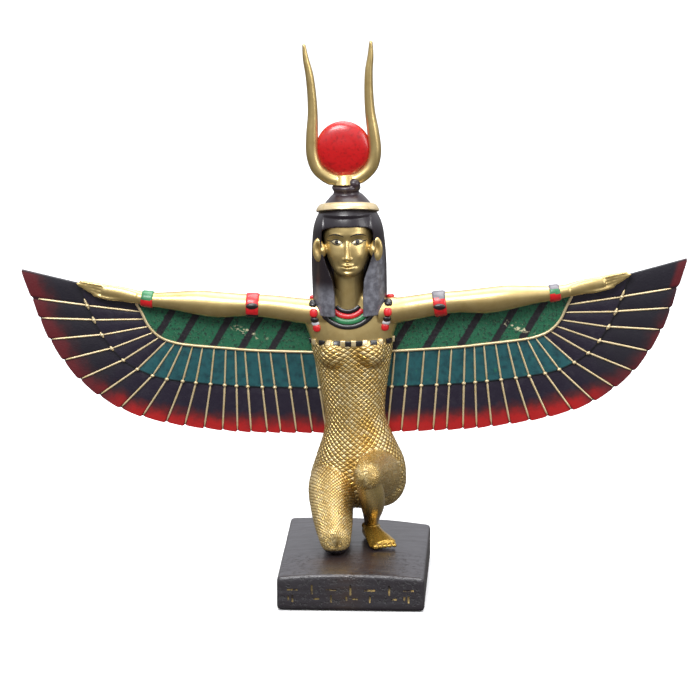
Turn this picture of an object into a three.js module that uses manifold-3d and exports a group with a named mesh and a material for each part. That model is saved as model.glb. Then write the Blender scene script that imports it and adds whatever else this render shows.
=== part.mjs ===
// Winged Isis figurine: a painted resin souvenir of a kneeling, winged goddess on a low plinth.
// Millimetres, +Z up, +X to the viewer's right, the figure faces -Y.
// The origin is the middle of the plinth's underside.

import * as THREE from 'three';
import { mergeVertices } from 'three/addons/utils/BufferGeometryUtils.js';
import Module from 'manifold-3d';

const wasm = await Module();
wasm.setup();

// Driving dimensions

// The plinth's back edge isn't square to its front, and its top swells a little in the middle.
const PLINTH = {
  halfWidth: 17.9,
  front: -28.5,
  backLeft: 29.6,
  backRight: 24.4,
  height: 8.2,
  swell: 0.9,
  cornerRadius: 1.3,
  edge: 0.7,
};

// Everything above the hips leans towards the viewer's left about this height.
const LEAN = THREE.MathUtils.degToRad(1.5);
const LEAN_HEIGHT = 38;
const BODY_X = -0.25;

// The crown leans a little further than the head below it.
const CROWN_LEAN = THREE.MathUtils.degToRad(1.8);
const CROWN_FOOT = new THREE.Vector3(-1.0, 7.2, 98.9);

// Room left between pieces that meet.
const JOINT_GAP = 0.3;

// The depths of the torso's middle, the arms and the wing plates.
const BODY_Y = 8.0;
const HEAD_X = -0.65;

// The gold headband rises towards the forehead.
const HEADBAND_TILT = THREE.MathUtils.degToRad(15);

const WING_FRONT_Y = 10.1;
const WING_SWEEP = 2.0;
const WING_SPAN = 82.6;
const QUILLS = 19;

// Thickness of the wing plate at the outer feathers, the inner feathers and the coverts.
const WING_THICKNESS = { outer: 1.7, inner: 2.1, covert: 2.5 };
const QUILL_RIDGE = 0.35;
const QUILL_HALF_WIDTH = 0.1;
const SCALLOP = 0.5;

const DISC_RADIUS = 6.8;
const DISC_HALF_THICKNESS = 2.1;
const DISC_HEIGHT = 8.8;

// Raised bands, such as the collar and the neckline, stand this far off the skin.
const BAND_RELIEF = 0.4;
const CUFF_DEPTH_RELIEF = 0.25;

const COLOURS = {
  gold: 0xc2a24a,
  blackResin: 0x17161a,
  teal: 0x1f5a60,
  horn: 0xcbb372,
};

const X_AXIS = new THREE.Vector3(1, 0, 0);
const Y_AXIS = new THREE.Vector3(0, 1, 0);

// Skins and solids

function signedVolume(position, index) {
  const a = new THREE.Vector3();
  const b = new THREE.Vector3();
  const c = new THREE.Vector3();
  let volume = 0;
  for (let i = 0; i < index.count; i += 3) {
    a.fromBufferAttribute(position, index.getX(i));
    b.fromBufferAttribute(position, index.getX(i + 1));
    c.fromBufferAttribute(position, index.getX(i + 2));
    volume += a.dot(b.cross(c)) / 6;
  }
  return volume;
}

// An indexed geometry with its faces pointing out, whichever way they were listed.
function outward(points, triangles) {
  const geometry = new THREE.BufferGeometry().setFromPoints(points);
  geometry.setIndex(triangles);
  if (signedVolume(geometry.attributes.position, geometry.index) < 0) {
    const flipped = [];
    for (let i = 0; i < triangles.length; i += 3) {
      flipped.push(triangles[i], triangles[i + 2], triangles[i + 1]);
    }
    geometry.setIndex(flipped);
  }
  return geometry;
}

// A closed skin through rings with equal numbers of points, and a tip point at each end.
function skin(rings, firstTip, lastTip) {
  const sides = rings[0].length;
  const points = [firstTip, ...rings.flat(), lastTip];
  const last = points.length - 1;
  const triangles = [];
  for (let j = 0; j < sides; j++) {
    const next = (j + 1) % sides;
    triangles.push(0, 1 + next, 1 + j);
    for (let i = 0; i + 1 < rings.length; i++) {
      const low = 1 + i * sides;
      const high = low + sides;
      triangles.push(low + j, low + next, high + next);
      triangles.push(low + j, high + next, high + j);
    }
    const top = last - sides;
    triangles.push(last, top + j, top + next);
  }
  return outward(points, triangles);
}

function middle(ring) {
  const sum = new THREE.Vector3();
  ring.forEach((point) => sum.add(point));
  return sum.divideScalar(ring.length);
}

// One ring of a superellipse: power 2 is an ellipse, and more is squarer.
function ellipseRing(centre, u, v, halfU, halfV, sides, power = 2) {
  const ring = [];
  for (let k = 0; k < sides; k++) {
    const angle = (2 * Math.PI * k) / sides;
    const c = Math.cos(angle);
    const s = Math.sin(angle);
    const x = Math.sign(c) * Math.abs(c) ** (2 / power) * halfU;
    const y = Math.sign(s) * Math.abs(s) ** (2 / power) * halfV;
    ring.push(centre.clone().addScaledVector(u, x).addScaledVector(v, y));
  }
  return ring;
}

// The row of numbers at t from 0 to 1, on a smooth curve through the given rows.
function smoothRow(rows, t) {
  const along = t * (rows.length - 1);
  const i = Math.min(Math.floor(along), rows.length - 2);
  const w = along - i;
  const at = (k) => rows[Math.max(0, Math.min(rows.length - 1, k))];
  return rows[0].map((_, n) => {
    const [p0, p1, p2, p3] = [at(i - 1)[n], at(i)[n], at(i + 1)[n], at(i + 2)[n]];
    const a = 2 * p1;
    const b = (p2 - p0) * w;
    const c = (2 * p0 - 5 * p1 + 4 * p2 - p3) * w * w;
    const d = (3 * p1 - p0 - 3 * p2 + p3) * w * w * w;
    return (a + b + c + d) / 2;
  });
}

// A stack of level ellipses. Each row is height, middle x, middle y, half width, half depth.
function stack(rows, { sides, steps, power = 2 }) {
  const rings = [];
  for (let i = 0; i <= steps; i++) {
    const [z, x, y, halfX, halfY] = smoothRow(rows, i / steps);
    const centre = new THREE.Vector3(x, y, z);
    rings.push(ellipseRing(centre, X_AXIS, Y_AXIS, halfX, halfY, sides, power));
  }
  return skin(rings, middle(rings[0]), middle(rings[rings.length - 1]));
}

// A limb along a smooth path. Each row is x, y, z, half size along `across`, half size the
// other way. Each end is rounded off over the length given.
function limb(rows, { across = X_AXIS, sides = 12, steps = 8, startDome = 0, endDome = 0, domeSteps = 2 }) {
  const sample = (t) => {
    const [x, y, z, a, b] = smoothRow(rows, t);
    const ahead = smoothRow(rows, Math.min(1, t + 0.01));
    const behind = smoothRow(rows, Math.max(0, t - 0.01));
    const tangent = new THREE.Vector3(...[0, 1, 2].map((n) => ahead[n] - behind[n])).normalize();
    const u = across.clone().addScaledVector(tangent, -across.dot(tangent)).normalize();
    const v = tangent.clone().cross(u);
    return { centre: new THREE.Vector3(x, y, z), tangent, u, v, a, b };
  };
  const ringAt = (s, slide, shrink) => {
    const centre = s.centre.clone().addScaledVector(s.tangent, slide);
    return ellipseRing(centre, s.u, s.v, s.a * shrink, s.b * shrink, sides);
  };
  const start = sample(0);
  const end = sample(1);
  const rings = [];
  for (let k = domeSteps - 1; k > 0 && startDome > 0; k--) {
    const angle = (Math.PI / 2) * (k / domeSteps);
    rings.push(ringAt(start, -startDome * Math.sin(angle), Math.cos(angle)));
  }
  for (let i = 0; i <= steps; i++) {
    rings.push(ringAt(sample(i / steps), 0, 1));
  }
  for (let k = 1; k < domeSteps && endDome > 0; k++) {
    const angle = (Math.PI / 2) * (k / domeSteps);
    rings.push(ringAt(end, endDome * Math.sin(angle), Math.cos(angle)));
  }
  const firstTip = start.centre.clone().addScaledVector(start.tangent, -startDome);
  const lastTip = end.centre.clone().addScaledVector(end.tangent, endDome);
  return skin(rings, firstTip, lastTip);
}

function ellipsoid([x, y, z], [rx, ry, rz], { around = 12, bands = 8 } = {}) {
  const geometry = new THREE.SphereGeometry(1, around, bands);
  geometry.rotateX(Math.PI / 2);
  geometry.scale(rx, ry, rz);
  geometry.translate(x, y, z);
  return geometry;
}

// A flat outline in x and z, made solid from yFrom to yTo.
function slab(outline, yFrom, yTo) {
  const shape = new THREE.Shape(outline.map(([x, z]) => new THREE.Vector2(x, z)));
  const geometry = new THREE.ExtrudeGeometry(shape, { depth: yTo - yFrom, bevelEnabled: false });
  geometry.rotateX(Math.PI / 2);
  geometry.translate(0, yTo, 0);
  return geometry;
}

function mirrored(geometry) {
  const copy = geometry.clone().scale(-1, 1, 1);
  const order = copy.index ? copy.index.array : null;
  if (order) {
    for (let i = 0; i < order.length; i += 3) {
      [order[i + 1], order[i + 2]] = [order[i + 2], order[i + 1]];
    }
  }
  return copy;
}

function solid(geometry) {
  const bare = geometry.clone();
  bare.deleteAttribute('normal');
  bare.deleteAttribute('uv');
  const merged = mergeVertices(bare, 1e-4);
  return new wasm.Manifold(new wasm.Mesh({
    numProp: 3,
    vertProperties: new Float32Array(merged.attributes.position.array),
    triVerts: new Uint32Array(merged.index.array),
  }));
}

function joined(geometries) {
  return geometries.map(solid).reduce((all, next) => all.add(next));
}

function meshOf(manifold, name, colour, roughness, metalness) {
  const { vertProperties, triVerts } = manifold.getMesh();
  const geometry = new THREE.BufferGeometry();
  geometry.setAttribute('position', new THREE.BufferAttribute(new Float32Array(vertProperties), 3));
  geometry.setIndex(new THREE.BufferAttribute(new Uint32Array(triVerts), 1));
  geometry.computeVertexNormals();
  const material = new THREE.MeshStandardMaterial({ color: colour, roughness, metalness, flatShading: true });
  const mesh = new THREE.Mesh(geometry, material);
  mesh.name = name;
  return mesh;
}

// Turns a geometry given in the upright body's own frame into the leaning one.
function leaned(geometry) {
  const matrix = new THREE.Matrix4().makeTranslation(BODY_X, 0, LEAN_HEIGHT);
  matrix.multiply(new THREE.Matrix4().makeRotationY(-LEAN));
  matrix.multiply(new THREE.Matrix4().makeTranslation(0, 0, -LEAN_HEIGHT));
  return geometry.clone().applyMatrix4(matrix);
}

// Plinth

function topSwell(x) {
  return PLINTH.swell * (1 - (x / PLINTH.halfWidth) ** 2);
}

// The plinth's outline from above, with rounded corners, anticlockwise from the front left.
function plinthOutline() {
  const { halfWidth: w, front, backLeft, backRight, cornerRadius: r } = PLINTH;
  const corners = [[-w, front], [w, front], [w, backRight], [-w, backLeft]];
  const turns = [Math.PI, 1.5 * Math.PI, 0, 0.5 * Math.PI];
  const sidePoints = [5, 1, 5, 1];
  const outline = [];
  corners.forEach(([x, y], n) => {
    const middleX = x - Math.sign(x) * r;
    const middleY = y + (n < 2 ? r : -r);
    for (let k = 0; k <= 2; k++) {
      const angle = turns[n] + (k / 2) * (Math.PI / 2);
      outline.push([middleX + r * Math.cos(angle), middleY + r * Math.sin(angle)]);
    }
    const [nextX, nextY] = corners[(n + 1) % 4];
    for (let k = 1; k <= sidePoints[n]; k++) {
      const w2 = k / (sidePoints[n] + 1);
      outline.push([x + (nextX - x) * w2, y + (nextY - y) * w2]);
    }
  });
  return outline;
}

function plinthSkin(lift) {
  const outline = plinthOutline();
  const { edge, height, halfWidth } = PLINTH;
  const ring = (inset, z, swollen) => outline.map(([x, y]) => {
    const scale = 1 - inset / halfWidth;
    const swell = swollen ? topSwell(x * scale) : 0;
    return new THREE.Vector3(x * scale, y * scale, z + swell + lift);
  });
  const rings = [
    ring(edge * 0.6, 0, false),
    ring(0, edge * 0.6, false),
    ring(0, height - edge, true),
    ring(edge * 0.3, height - edge * 0.3, true),
    ring(edge, height, true),
    ring(halfWidth * 0.35, height, true),
    ring(halfWidth * 0.7, height, true),
  ];
  const top = new THREE.Vector3(0, 0, height + PLINTH.swell + lift);
  return skin(rings, new THREE.Vector3(0, 0, lift), top);
}

// Two rows of shallow strokes along the front face, in seven groups. They spell nothing.
function strokes() {
  const depth = 0.35;
  const strokeWidth = 0.45;
  const groups = 7;
  const pitch = 4.7;
  const bars = [];
  for (let g = 0; g < groups; g++) {
    const x = (g - (groups - 1) / 2) * pitch;
    const lying = g % 2 === 0;
    const size = lying ? [2.6, strokeWidth] : [strokeWidth, 2.6];
    bars.push([x, 5.2, ...size]);
    bars.push([x + (lying ? 0 : 1.1), 3.0, ...(lying ? [strokeWidth, 1.8] : [1.5, strokeWidth])]);
    if (g % 3 === 0) {
      bars.push([x - 1.0, 3.1, strokeWidth, 1.2]);
    }
  }
  return bars.map(([x, z, width, height]) => {
    const bar = new THREE.BoxGeometry(width, 2 * depth, height);
    bar.translate(x, PLINTH.front, z);
    return bar;
  });
}

function plinth() {
  const body = solid(plinthSkin(0));
  return meshOf(body.subtract(joined(strokes())), 'plinth', COLOURS.blackResin, 0.35, 0);
}

// Body and dress

// Height, middle x, middle y, half width and half depth of the trunk, from seat to throat.
const TRUNK = [
  [16.6, 0.6, 11.4, 4.5, 4.0],
  [18.4, 0.3, 11.2, 8.6, 6.8],
  [20.8, 0.1, 10.9, 10.6, 8.1],
  [24.4, 0.1, 10.3, 11.9, 8.5],
  [28.6, 0.5, 9.7, 11.1, 7.7],
  [32.6, 0.4, 9.2, 9.6, 6.6],
  [36.4, 0.2, 8.7, 8.2, 5.5],
  [40.4, -0.2, 8.3, 7.4, 4.9],
  [45.5, -0.4, 8.1, 7.9, 4.9],
  [50.6, -0.3, 7.9, 8.6, 5.1],
  [55.7, -0.4, 7.7, 9.6, 5.4],
  [60.8, -0.5, 7.6, 10.5, 5.4],
  [65.2, -0.5, 7.6, 12.0, 4.9],
  [68.6, -0.5, 7.6, 11.6, 4.2],
  [70.6, -0.6, 7.4, 8.0, 3.7],
  [71.8, -0.7, 7.2, 4.6, 3.2],
];

function trunk(extra = 0) {
  const rows = TRUNK.map(([z, x, y, a, b]) => [z, x, y, a + extra, b + extra]);
  return stack(rows, { sides: 18, steps: 15, power: 2.2 });
}

// The bust under the dress, as two low swellings.
function bust() {
  const middleX = -0.4;
  const swelling = (side) => ellipsoid(
    [middleX + side * 4.4, 4.3, 57.0],
    [3.9, 3.2, 4.0],
    { around: 8, bands: 6 },
  );
  return [swelling(-1), swelling(1)];
}

// The band along the top of the dress, and the broad collar between the wig's two lappets.
function neckBands() {
  const around = solid(leaned(trunk(BAND_RELIEF)));
  const wide = 30;
  const wingSide = WING_FRONT_Y - JOINT_GAP;
  const neckline = slab([[-wide, 58.8], [wide, 58.8], [wide, 60.6], [-wide, 60.6]], -10, wingSide);
  const collarDisc = new THREE.CylinderGeometry(6.6, 6.6, 12, 20);
  collarDisc.translate(-0.5, 0, 69.6);
  collarDisc.translate(0, BODY_Y - 6, 0);
  const bands = solid(leaned(neckline)).add(solid(leaned(collarDisc)));
  return around.intersect(bands);
}

// Legs. The figure's own right leg kneels, and its left knee is raised.
function legs() {
  const kneelingThigh = limb([
    [-5.6, 12.0, 23.4, 5.9, 6.6],
    [-6.0, 6.0, 21.8, 6.0, 6.6],
    [-5.9, 0.5, 18.9, 5.3, 5.9],
    [-5.2, -5.5, 15.8, 4.6, 5.2],
    [-4.6, -10.2, 13.3, 3.8, 4.2],
  ], { sides: 12, steps: 6, startDome: 0, endDome: 3.3, domeSteps: 3 });
  const kneelingShin = limb([
    [-4.5, -9.0, 12.2, 3.5, 3.4],
    [-4.7, -2.0, 12.2, 3.5, 3.4],
    [-4.8, 6.0, 12.2, 3.3, 3.3],
    [-4.8, 12.5, 12.8, 2.5, 2.7],
    [-4.8, 16.2, 13.8, 2.0, 2.3],
  ], { sides: 10, steps: 4, startDome: 0, endDome: 2 });
  const tuckedFoot = limb([
    [-4.8, 16.4, 17.2, 1.7, 1.8],
    [-4.8, 17.6, 14.4, 2.1, 2.0],
    [-4.9, 18.8, 11.6, 2.6, 1.6],
    [-4.9, 19.0, 10.2, 2.8, 1.3],
  ], { sides: 8, steps: 3, startDome: 1.3, endDome: 0.6 });
  const raisedThigh = limb([
    [5.2, 10.0, 25.0, 6.1, 6.8],
    [5.0, 4.0, 26.4, 5.4, 6.0],
    [4.4, -2.5, 27.8, 4.3, 4.8],
    [3.7, -7.6, 28.8, 3.6, 3.9],
    [3.3, -9.6, 29.1, 3.4, 3.5],
  ], { sides: 12, steps: 6, startDome: 0, endDome: 2.9, domeSteps: 3 });
  const raisedShin = limb([
    [3.6, -9.0, 27.4, 2.9, 2.6],
    [4.1, -6.6, 23.9, 3.3, 3.1],
    [4.3, -3.2, 20.4, 3.0, 3.2],
    [4.0, 1.0, 17.0, 2.3, 2.6],
    [3.7, 4.2, 14.0, 1.8, 2.1],
    [3.6, 5.4, 11.6, 2.0, 2.4],
  ], { sides: 10, steps: 6 });
  const standingFoot = limb([
    [3.0, 7.4, 10.9, 1.8, 1.9],
    [3.6, 4.6, 11.6, 2.1, 2.5],
    [4.8, 1.2, 11.2, 2.6, 1.9],
    [6.2, -1.6, 10.5, 3.3, 1.3],
    [6.9, -3.0, 10.1, 3.5, 1.0],
  ], { sides: 12, steps: 6, startDome: 1.2, endDome: 0.5 });
  return [kneelingThigh, kneelingShin, tuckedFoot, raisedThigh, raisedShin, standingFoot];
}

// Five toes side by side on the standing foot, from the big toe outwards.
function toes() {
  const root = new THREE.Vector3(4.6, -2.4, 10.0);
  const spread = new THREE.Vector3(4.8, 1.0, -0.1);
  const direction = new THREE.Vector3(0.22, -0.97, -0.06);
  const length = 2.5;
  const radius = 0.78;
  return [0, 1, 2, 3, 4].map((k) => {
    const w = k / 4;
    const r = radius * (k === 0 ? 1.25 : 0.95 - 0.12 * w);
    const from = root.clone().addScaledVector(spread, w);
    const tip = from.clone().addScaledVector(direction, length * (1 - 0.35 * w));
    return limb([
      [from.x, from.y, from.z, r, r],
      [tip.x, tip.y, tip.z, r * 0.9, r * 0.85],
    ], { sides: 6, steps: 1, endDome: r * 0.8 });
  });
}

// Seat behind the thighs.
function seat() {
  return [
    ellipsoid([5.9, 12.0, 23.2], [6.2, 6.8, 7.0], { around: 10, bands: 7 }),
    ellipsoid([-5.6, 12.4, 22.6], [6.2, 6.6, 6.6], { around: 10, bands: 7 }),
  ];
}

// Arms and hands

// The arms lie in front of the wings with room for their bands, so their depth follows from
// their thickness.
function resting(rows) {
  const room = JOINT_GAP + CUFF_DEPTH_RELIEF;
  return rows.map(([x, z, a, b]) => [x, wingDepth(x) - room - a, z, a, b]);
}

// Along one arm: distance from the body's middle, height, half depth, half height.
const ARM = resting([
  [6.0, 66.6, 3.3, 3.3],
  [13.0, 67.3, 2.75, 3.1],
  [20.0, 68.3, 2.55, 2.9],
  [26.0, 68.8, 2.5, 2.75],
  [33.0, 69.0, 2.6, 3.2],
  [38.5, 69.6, 2.5, 3.05],
  [44.0, 70.0, 2.15, 2.35],
  [49.5, 70.3, 1.75, 1.8],
  [53.5, 70.9, 1.5, 1.6],
]);

const PALM = resting([
  [52.5, 70.7, 1.45, 1.6],
  [56.5, 71.5, 1.2, 1.85],
  [60.0, 72.2, 1.05, 1.75],
  [62.0, 72.6, 0.9, 1.45],
]);

const THUMB = resting([
  [56.8, 70.5, 1.1, 0.7],
  [60.6, 70.7, 1.0, 0.6],
  [64.4, 71.4, 0.6, 0.4],
]);

// Where the armlet and the bracelet sit on each arm.
const CUFFS = {
  1: [[19.9, 23.1], [48.5, 51.2]],
  '-1': [[23.2, 26.4], [49.5, 52.5]],
};
function arm() {
  return limb(ARM, { across: Y_AXIS, sides: 10, steps: 9 });
}

function hand() {
  const palm = limb(PALM, { across: Y_AXIS, sides: 8, steps: 3, startDome: 0.5, endDome: 0.5 });
  const fingers = [0, 1, 2, 3].map((k) => {
    const rise = 0.85 * (1.5 - k);
    const reach = 68.6 - 0.9 * Math.abs(k - 1.2);
    const rows = resting([
      [61.0, 72.3 + rise, 0.7, 0.5],
      [64.8, 73.2 + rise * 0.85, 0.6, 0.46],
      [reach, 74.0 + rise * 0.6, 0.5, 0.38],
    ]);
    return limb(rows, { across: Y_AXIS, sides: 5, steps: 2, endDome: 0.4 });
  });
  const thumb = limb(THUMB, { across: Y_AXIS, sides: 5, steps: 2, startDome: 0.4, endDome: 0.4 });
  return [palm, ...fingers, thumb];
}

// A band around the arm between two distances from the body's middle.
function cuff([from, to]) {
  const along = (x) => {
    let low = 0;
    let high = 1;
    for (let k = 0; k < 24; k++) {
      const half = (low + high) / 2;
      if (smoothRow(ARM, half)[0] < x) {
        low = half;
      } else {
        high = half;
      }
    }
    return smoothRow(ARM, low);
  };
  const rows = [from, to].map((x) => {
    const [px, py, pz, a, b] = along(x);
    return [px, py, pz, a + CUFF_DEPTH_RELIEF, b + BAND_RELIEF];
  });
  return limb(rows, { across: Y_AXIS, sides: 10, steps: 1 });
}

// One whole arm, on the +X side for side 1. The armlet and the bracelet sit a little
// differently on the two arms.
function wholeArm(side) {
  const pieces = [arm(), ...hand(), ...CUFFS[side].map(cuff)];
  return side > 0 ? pieces : pieces.map(mirrored);
}

// Head and wig

// The face is a plain classical one: eyes at half the head's height, nose ending halfway from
// there to the chin, mouth a third of the way below the nose, eyes one eye's width apart.
const CHIN_Z = 76.5;
const SKULL_TOP_Z = 94.6;
const HEAD_HEIGHT = SKULL_TOP_Z - CHIN_Z;
const EYE_Z = CHIN_Z + HEAD_HEIGHT / 2;
const NOSE_Z = CHIN_Z + HEAD_HEIGHT / 4;
const MOUTH_Z = NOSE_Z - HEAD_HEIGHT / 12;
const EYE_WIDTH = HEAD_HEIGHT * 0.7 / 5;
const FACE_FRONT_Y = -0.6;

function head() {
  const x = HEAD_X;
  const skull = stack([
    [CHIN_Z, x, 2.4, 1.5, 1.6],
    [CHIN_Z + 1.3, x, 3.4, 3.3, 3.8],
    [CHIN_Z + 3.4, x, 4.7, 4.7, 5.3],
    [CHIN_Z + 6.0, x, 5.5, 5.7, 6.2],
    [EYE_Z, x, 6.1, 6.2, 6.5],
    [EYE_Z + 3.0, x, 6.4, 6.3, 6.9],
    [EYE_Z + 6.2, x, 6.7, 5.5, 6.2],
    [SKULL_TOP_Z, x, 7.0, 2.0, 2.4],
  ], { sides: 18, steps: 9 });
  const nose = limb([
    [x, FACE_FRONT_Y + 0.7, EYE_Z + 0.8, 0.5, 0.6],
    [x, FACE_FRONT_Y - 0.2, (EYE_Z + NOSE_Z) / 2, 0.7, 0.8],
    [x, FACE_FRONT_Y - 0.6, NOSE_Z + 0.5, 1.15, 0.9],
  ], { sides: 6, steps: 2, endDome: 0.5 });
  const lip = (z, halfHeight) => ellipsoid(
    [x, FACE_FRONT_Y + 0.6, z],
    [1.75, 0.75, halfHeight],
    { around: 8, bands: 4 },
  );
  const eye = (side) => ellipsoid(
    [x + side * EYE_WIDTH, FACE_FRONT_Y + 1.2, EYE_Z],
    [EYE_WIDTH / 2, 1.0, 0.7],
    { around: 8, bands: 4 },
  );
  const ear = (side) => ellipsoid(
    [x + side * 7.3, 2.1, EYE_Z - 2.2],
    [1.5, 1.0, 2.9],
    { around: 8, bands: 5 },
  );
  const neck = stack([
    [63.0, -0.9, 7.4, 4.6, 3.9],
    [69.0, -0.9, 6.9, 4.1, 3.9],
    [74.0, -0.75, 6.5, 3.7, 3.7],
    [80.0, -0.65, 6.6, 3.9, 3.9],
  ], { sides: 12, steps: 3 });
  const lips = [lip(MOUTH_Z + 0.35, 0.45), lip(MOUTH_Z - 0.35, 0.5)];
  return [skull, nose, ...lips, eye(-1), eye(1), ear(-1), ear(1), neck];
}

// The wig with its opening for face and throat, and the low ring on top that carries the crown.
function wig() {
  const x = HEAD_X;
  const mass = solid(leaned(stack([
    [66.6, x, 7.2, 8.8, 6.2],
    [70.3, x, 7.2, 9.15, 6.6],
    [75.0, x, 7.2, 9.25, 7.2],
    [80.0, x, 7.2, 9.25, 7.8],
    [84.5, x, 7.2, 9.0, 8.2],
    [88.4, x, 7.0, 8.5, 8.4],
    [91.3, x, 7.0, 7.4, 7.8],
    [93.8, x, 7.1, 5.8, 6.4],
    [95.7, x, 7.2, 4.2, 4.6],
    [96.5, x, 7.2, 3.3, 3.4],
  ], { sides: 20, steps: 9, power: 2.2 })));
  const half = [
    [3.3, 60], [3.5, 72], [3.9, 76], [5.2, 79.5], [6.2, 82.5], [6.4, 86], [6.2, 88.2], [3.6, 89.3],
  ];
  const opening = slab([
    ...half.map(([w, z]) => [x + w, z]),
    ...half.map(([w, z]) => [x - w, z]).reverse(),
  ], -20, 6.5);
  const topRing = stack([
    [95.6, x - 0.2, 7.2, 3.6, 3.6],
    [97.2, x - 0.2, 7.2, 3.2, 3.2],
    [97.8, x - 0.2, 7.2, 3.5, 3.5],
    [98.5, x - 0.2, 7.2, 3.5, 3.5],
  ], { sides: 14, steps: 3 });
  const band = limb([
    [x, 7.1, 92.0, 7.5, 7.7],
    [x, 7.1, 92.9, 7.1, 7.3],
    [x, 7.1, 93.8, 6.6, 6.8],
  ], { sides: 20, steps: 1 });
  band.translate(0, -7.1, -92.9);
  band.rotateX(-HEADBAND_TILT);
  band.translate(0, 7.3, 92.7);
  return mass.subtract(solid(leaned(opening))).add(joined([leaned(topRing), leaned(band)]));
}

function figure() {
  const upper = [trunk(), ...bust(), ...wholeArm(1), ...wholeArm(-1), ...head()].map(leaned);
  const lower = [...legs(), ...toes(), ...seat()];
  const whole = joined([...upper, ...lower]).add(neckBands()).add(wig());
  const cleared = whole.subtract(solid(plinthSkin(JOINT_GAP)));
  return meshOf(cleared, 'figure', COLOURS.gold, 0.35, 0.7);
}

// Crown

// Along one horn: distance from the crown's middle, height over the foot, half thickness.
const HORN = [
  [0.4, 0.6, 2.0],
  [2.9, 1.2, 1.9],
  [5.2, 2.6, 1.85],
  [6.9, 4.6, 1.8],
  [7.7, 8.0, 1.75],
  [7.5, 12.6, 1.65],
  [7.05, 17.5, 1.4],
  [7.0, 22.5, 1.25],
  [7.3, 27.5, 1.1],
  [7.9, 31.2, 0.85],
  [8.2, 34.6, 0.5],
];

function crown() {
  const { x, y, z } = CROWN_FOOT;
  const rows = HORN.map(([out, up, half]) => [out, 0, up, half, half * 0.9]);
  const horn = limb(rows, { across: Y_AXIS, sides: 8, steps: 14, endDome: 0.5 });
  const foot = stack([
    [0, 0, 0, 3.2, 3.1],
    [0.8, 0, 0, 2.9, 2.7],
    [2.4, 0, 0, 2.6, 1.9],
  ], { sides: 10, steps: 2 });
  const disc = new THREE.SphereGeometry(1, 22, 6);
  disc.scale(DISC_RADIUS, DISC_HALF_THICKNESS, DISC_RADIUS);
  disc.translate(0, 0, DISC_HEIGHT);
  const placed = (piece) => {
    const turned = piece.clone().rotateY(-CROWN_LEAN);
    turned.translate(x, y, z);
    return leaned(turned);
  };
  const below = new THREE.BoxGeometry(20, 20, 6).translate(0, 0, -3);
  const whole = joined([horn, mirrored(horn), foot, disc].map(placed)).subtract(solid(placed(below)));
  return meshOf(whole, 'crown', COLOURS.horn, 0.35, 0.7);
}

// Wings

// Guide curves over the feathers, as rows of feather number, distance out and height.
// Feather 0 is the wing's upper edge past the hand, and the last one is behind the body.
const OUTER_EDGE = [
  [0, 82.6, 77.4], [1, 80.0, 70.3], [3, 75.9, 59.8], [5, 68.8, 49.6], [7, 58.9, 42.3],
  [9, 47.6, 38.6], [12, 33.6, 36.5], [15, 22.4, 35.8], [20, 5.2, 35.5],
];
const CROSS_LINE = [
  [0, 68.6, 73.9], [1, 66.4, 68.4], [3, 63.0, 60.9], [5, 57.9, 54.4], [7, 50.7, 50.4],
  [9, 43.2, 48.9], [12, 32.7, 47.8], [15, 23.3, 47.2], [20, 6.6, 46.8],
];
const COVERT_EDGE = [
  [0, 54.5, 69.6], [1, 52.9, 66.7], [3, 51.1, 63.0], [5, 48.4, 60.3], [7, 44.7, 58.8],
  [9, 40.3, 58.1], [12, 32.1, 57.3], [15, 24.1, 56.6], [20, 7.6, 55.9],
];
const UPPER_EDGE = [
  [0, 56.0, 71.6], [1, 54.0, 71.3], [3, 51.0, 70.9], [5, 47.5, 70.5], [7, 43.5, 70.2],
  [9, 39.0, 69.8], [12, 31.5, 69.0], [15, 23.5, 68.2], [20, 6.0, 64.8],
];

// A point of a guide curve at a feather number that need not be whole.
function guide(curve, feather) {
  let i = 0;
  while (i < curve.length - 2 && curve[i + 1][0] <= feather) {
    i += 1;
  }
  const w = (feather - curve[i][0]) / (curve[i + 1][0] - curve[i][0]);
  const [, x, z] = smoothRow(curve, (i + w) / (curve.length - 1));
  return [x, z];
}

function wingDepth(x) {
  return WING_FRONT_Y + WING_SWEEP * (x / WING_SPAN) ** 2;
}

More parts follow.
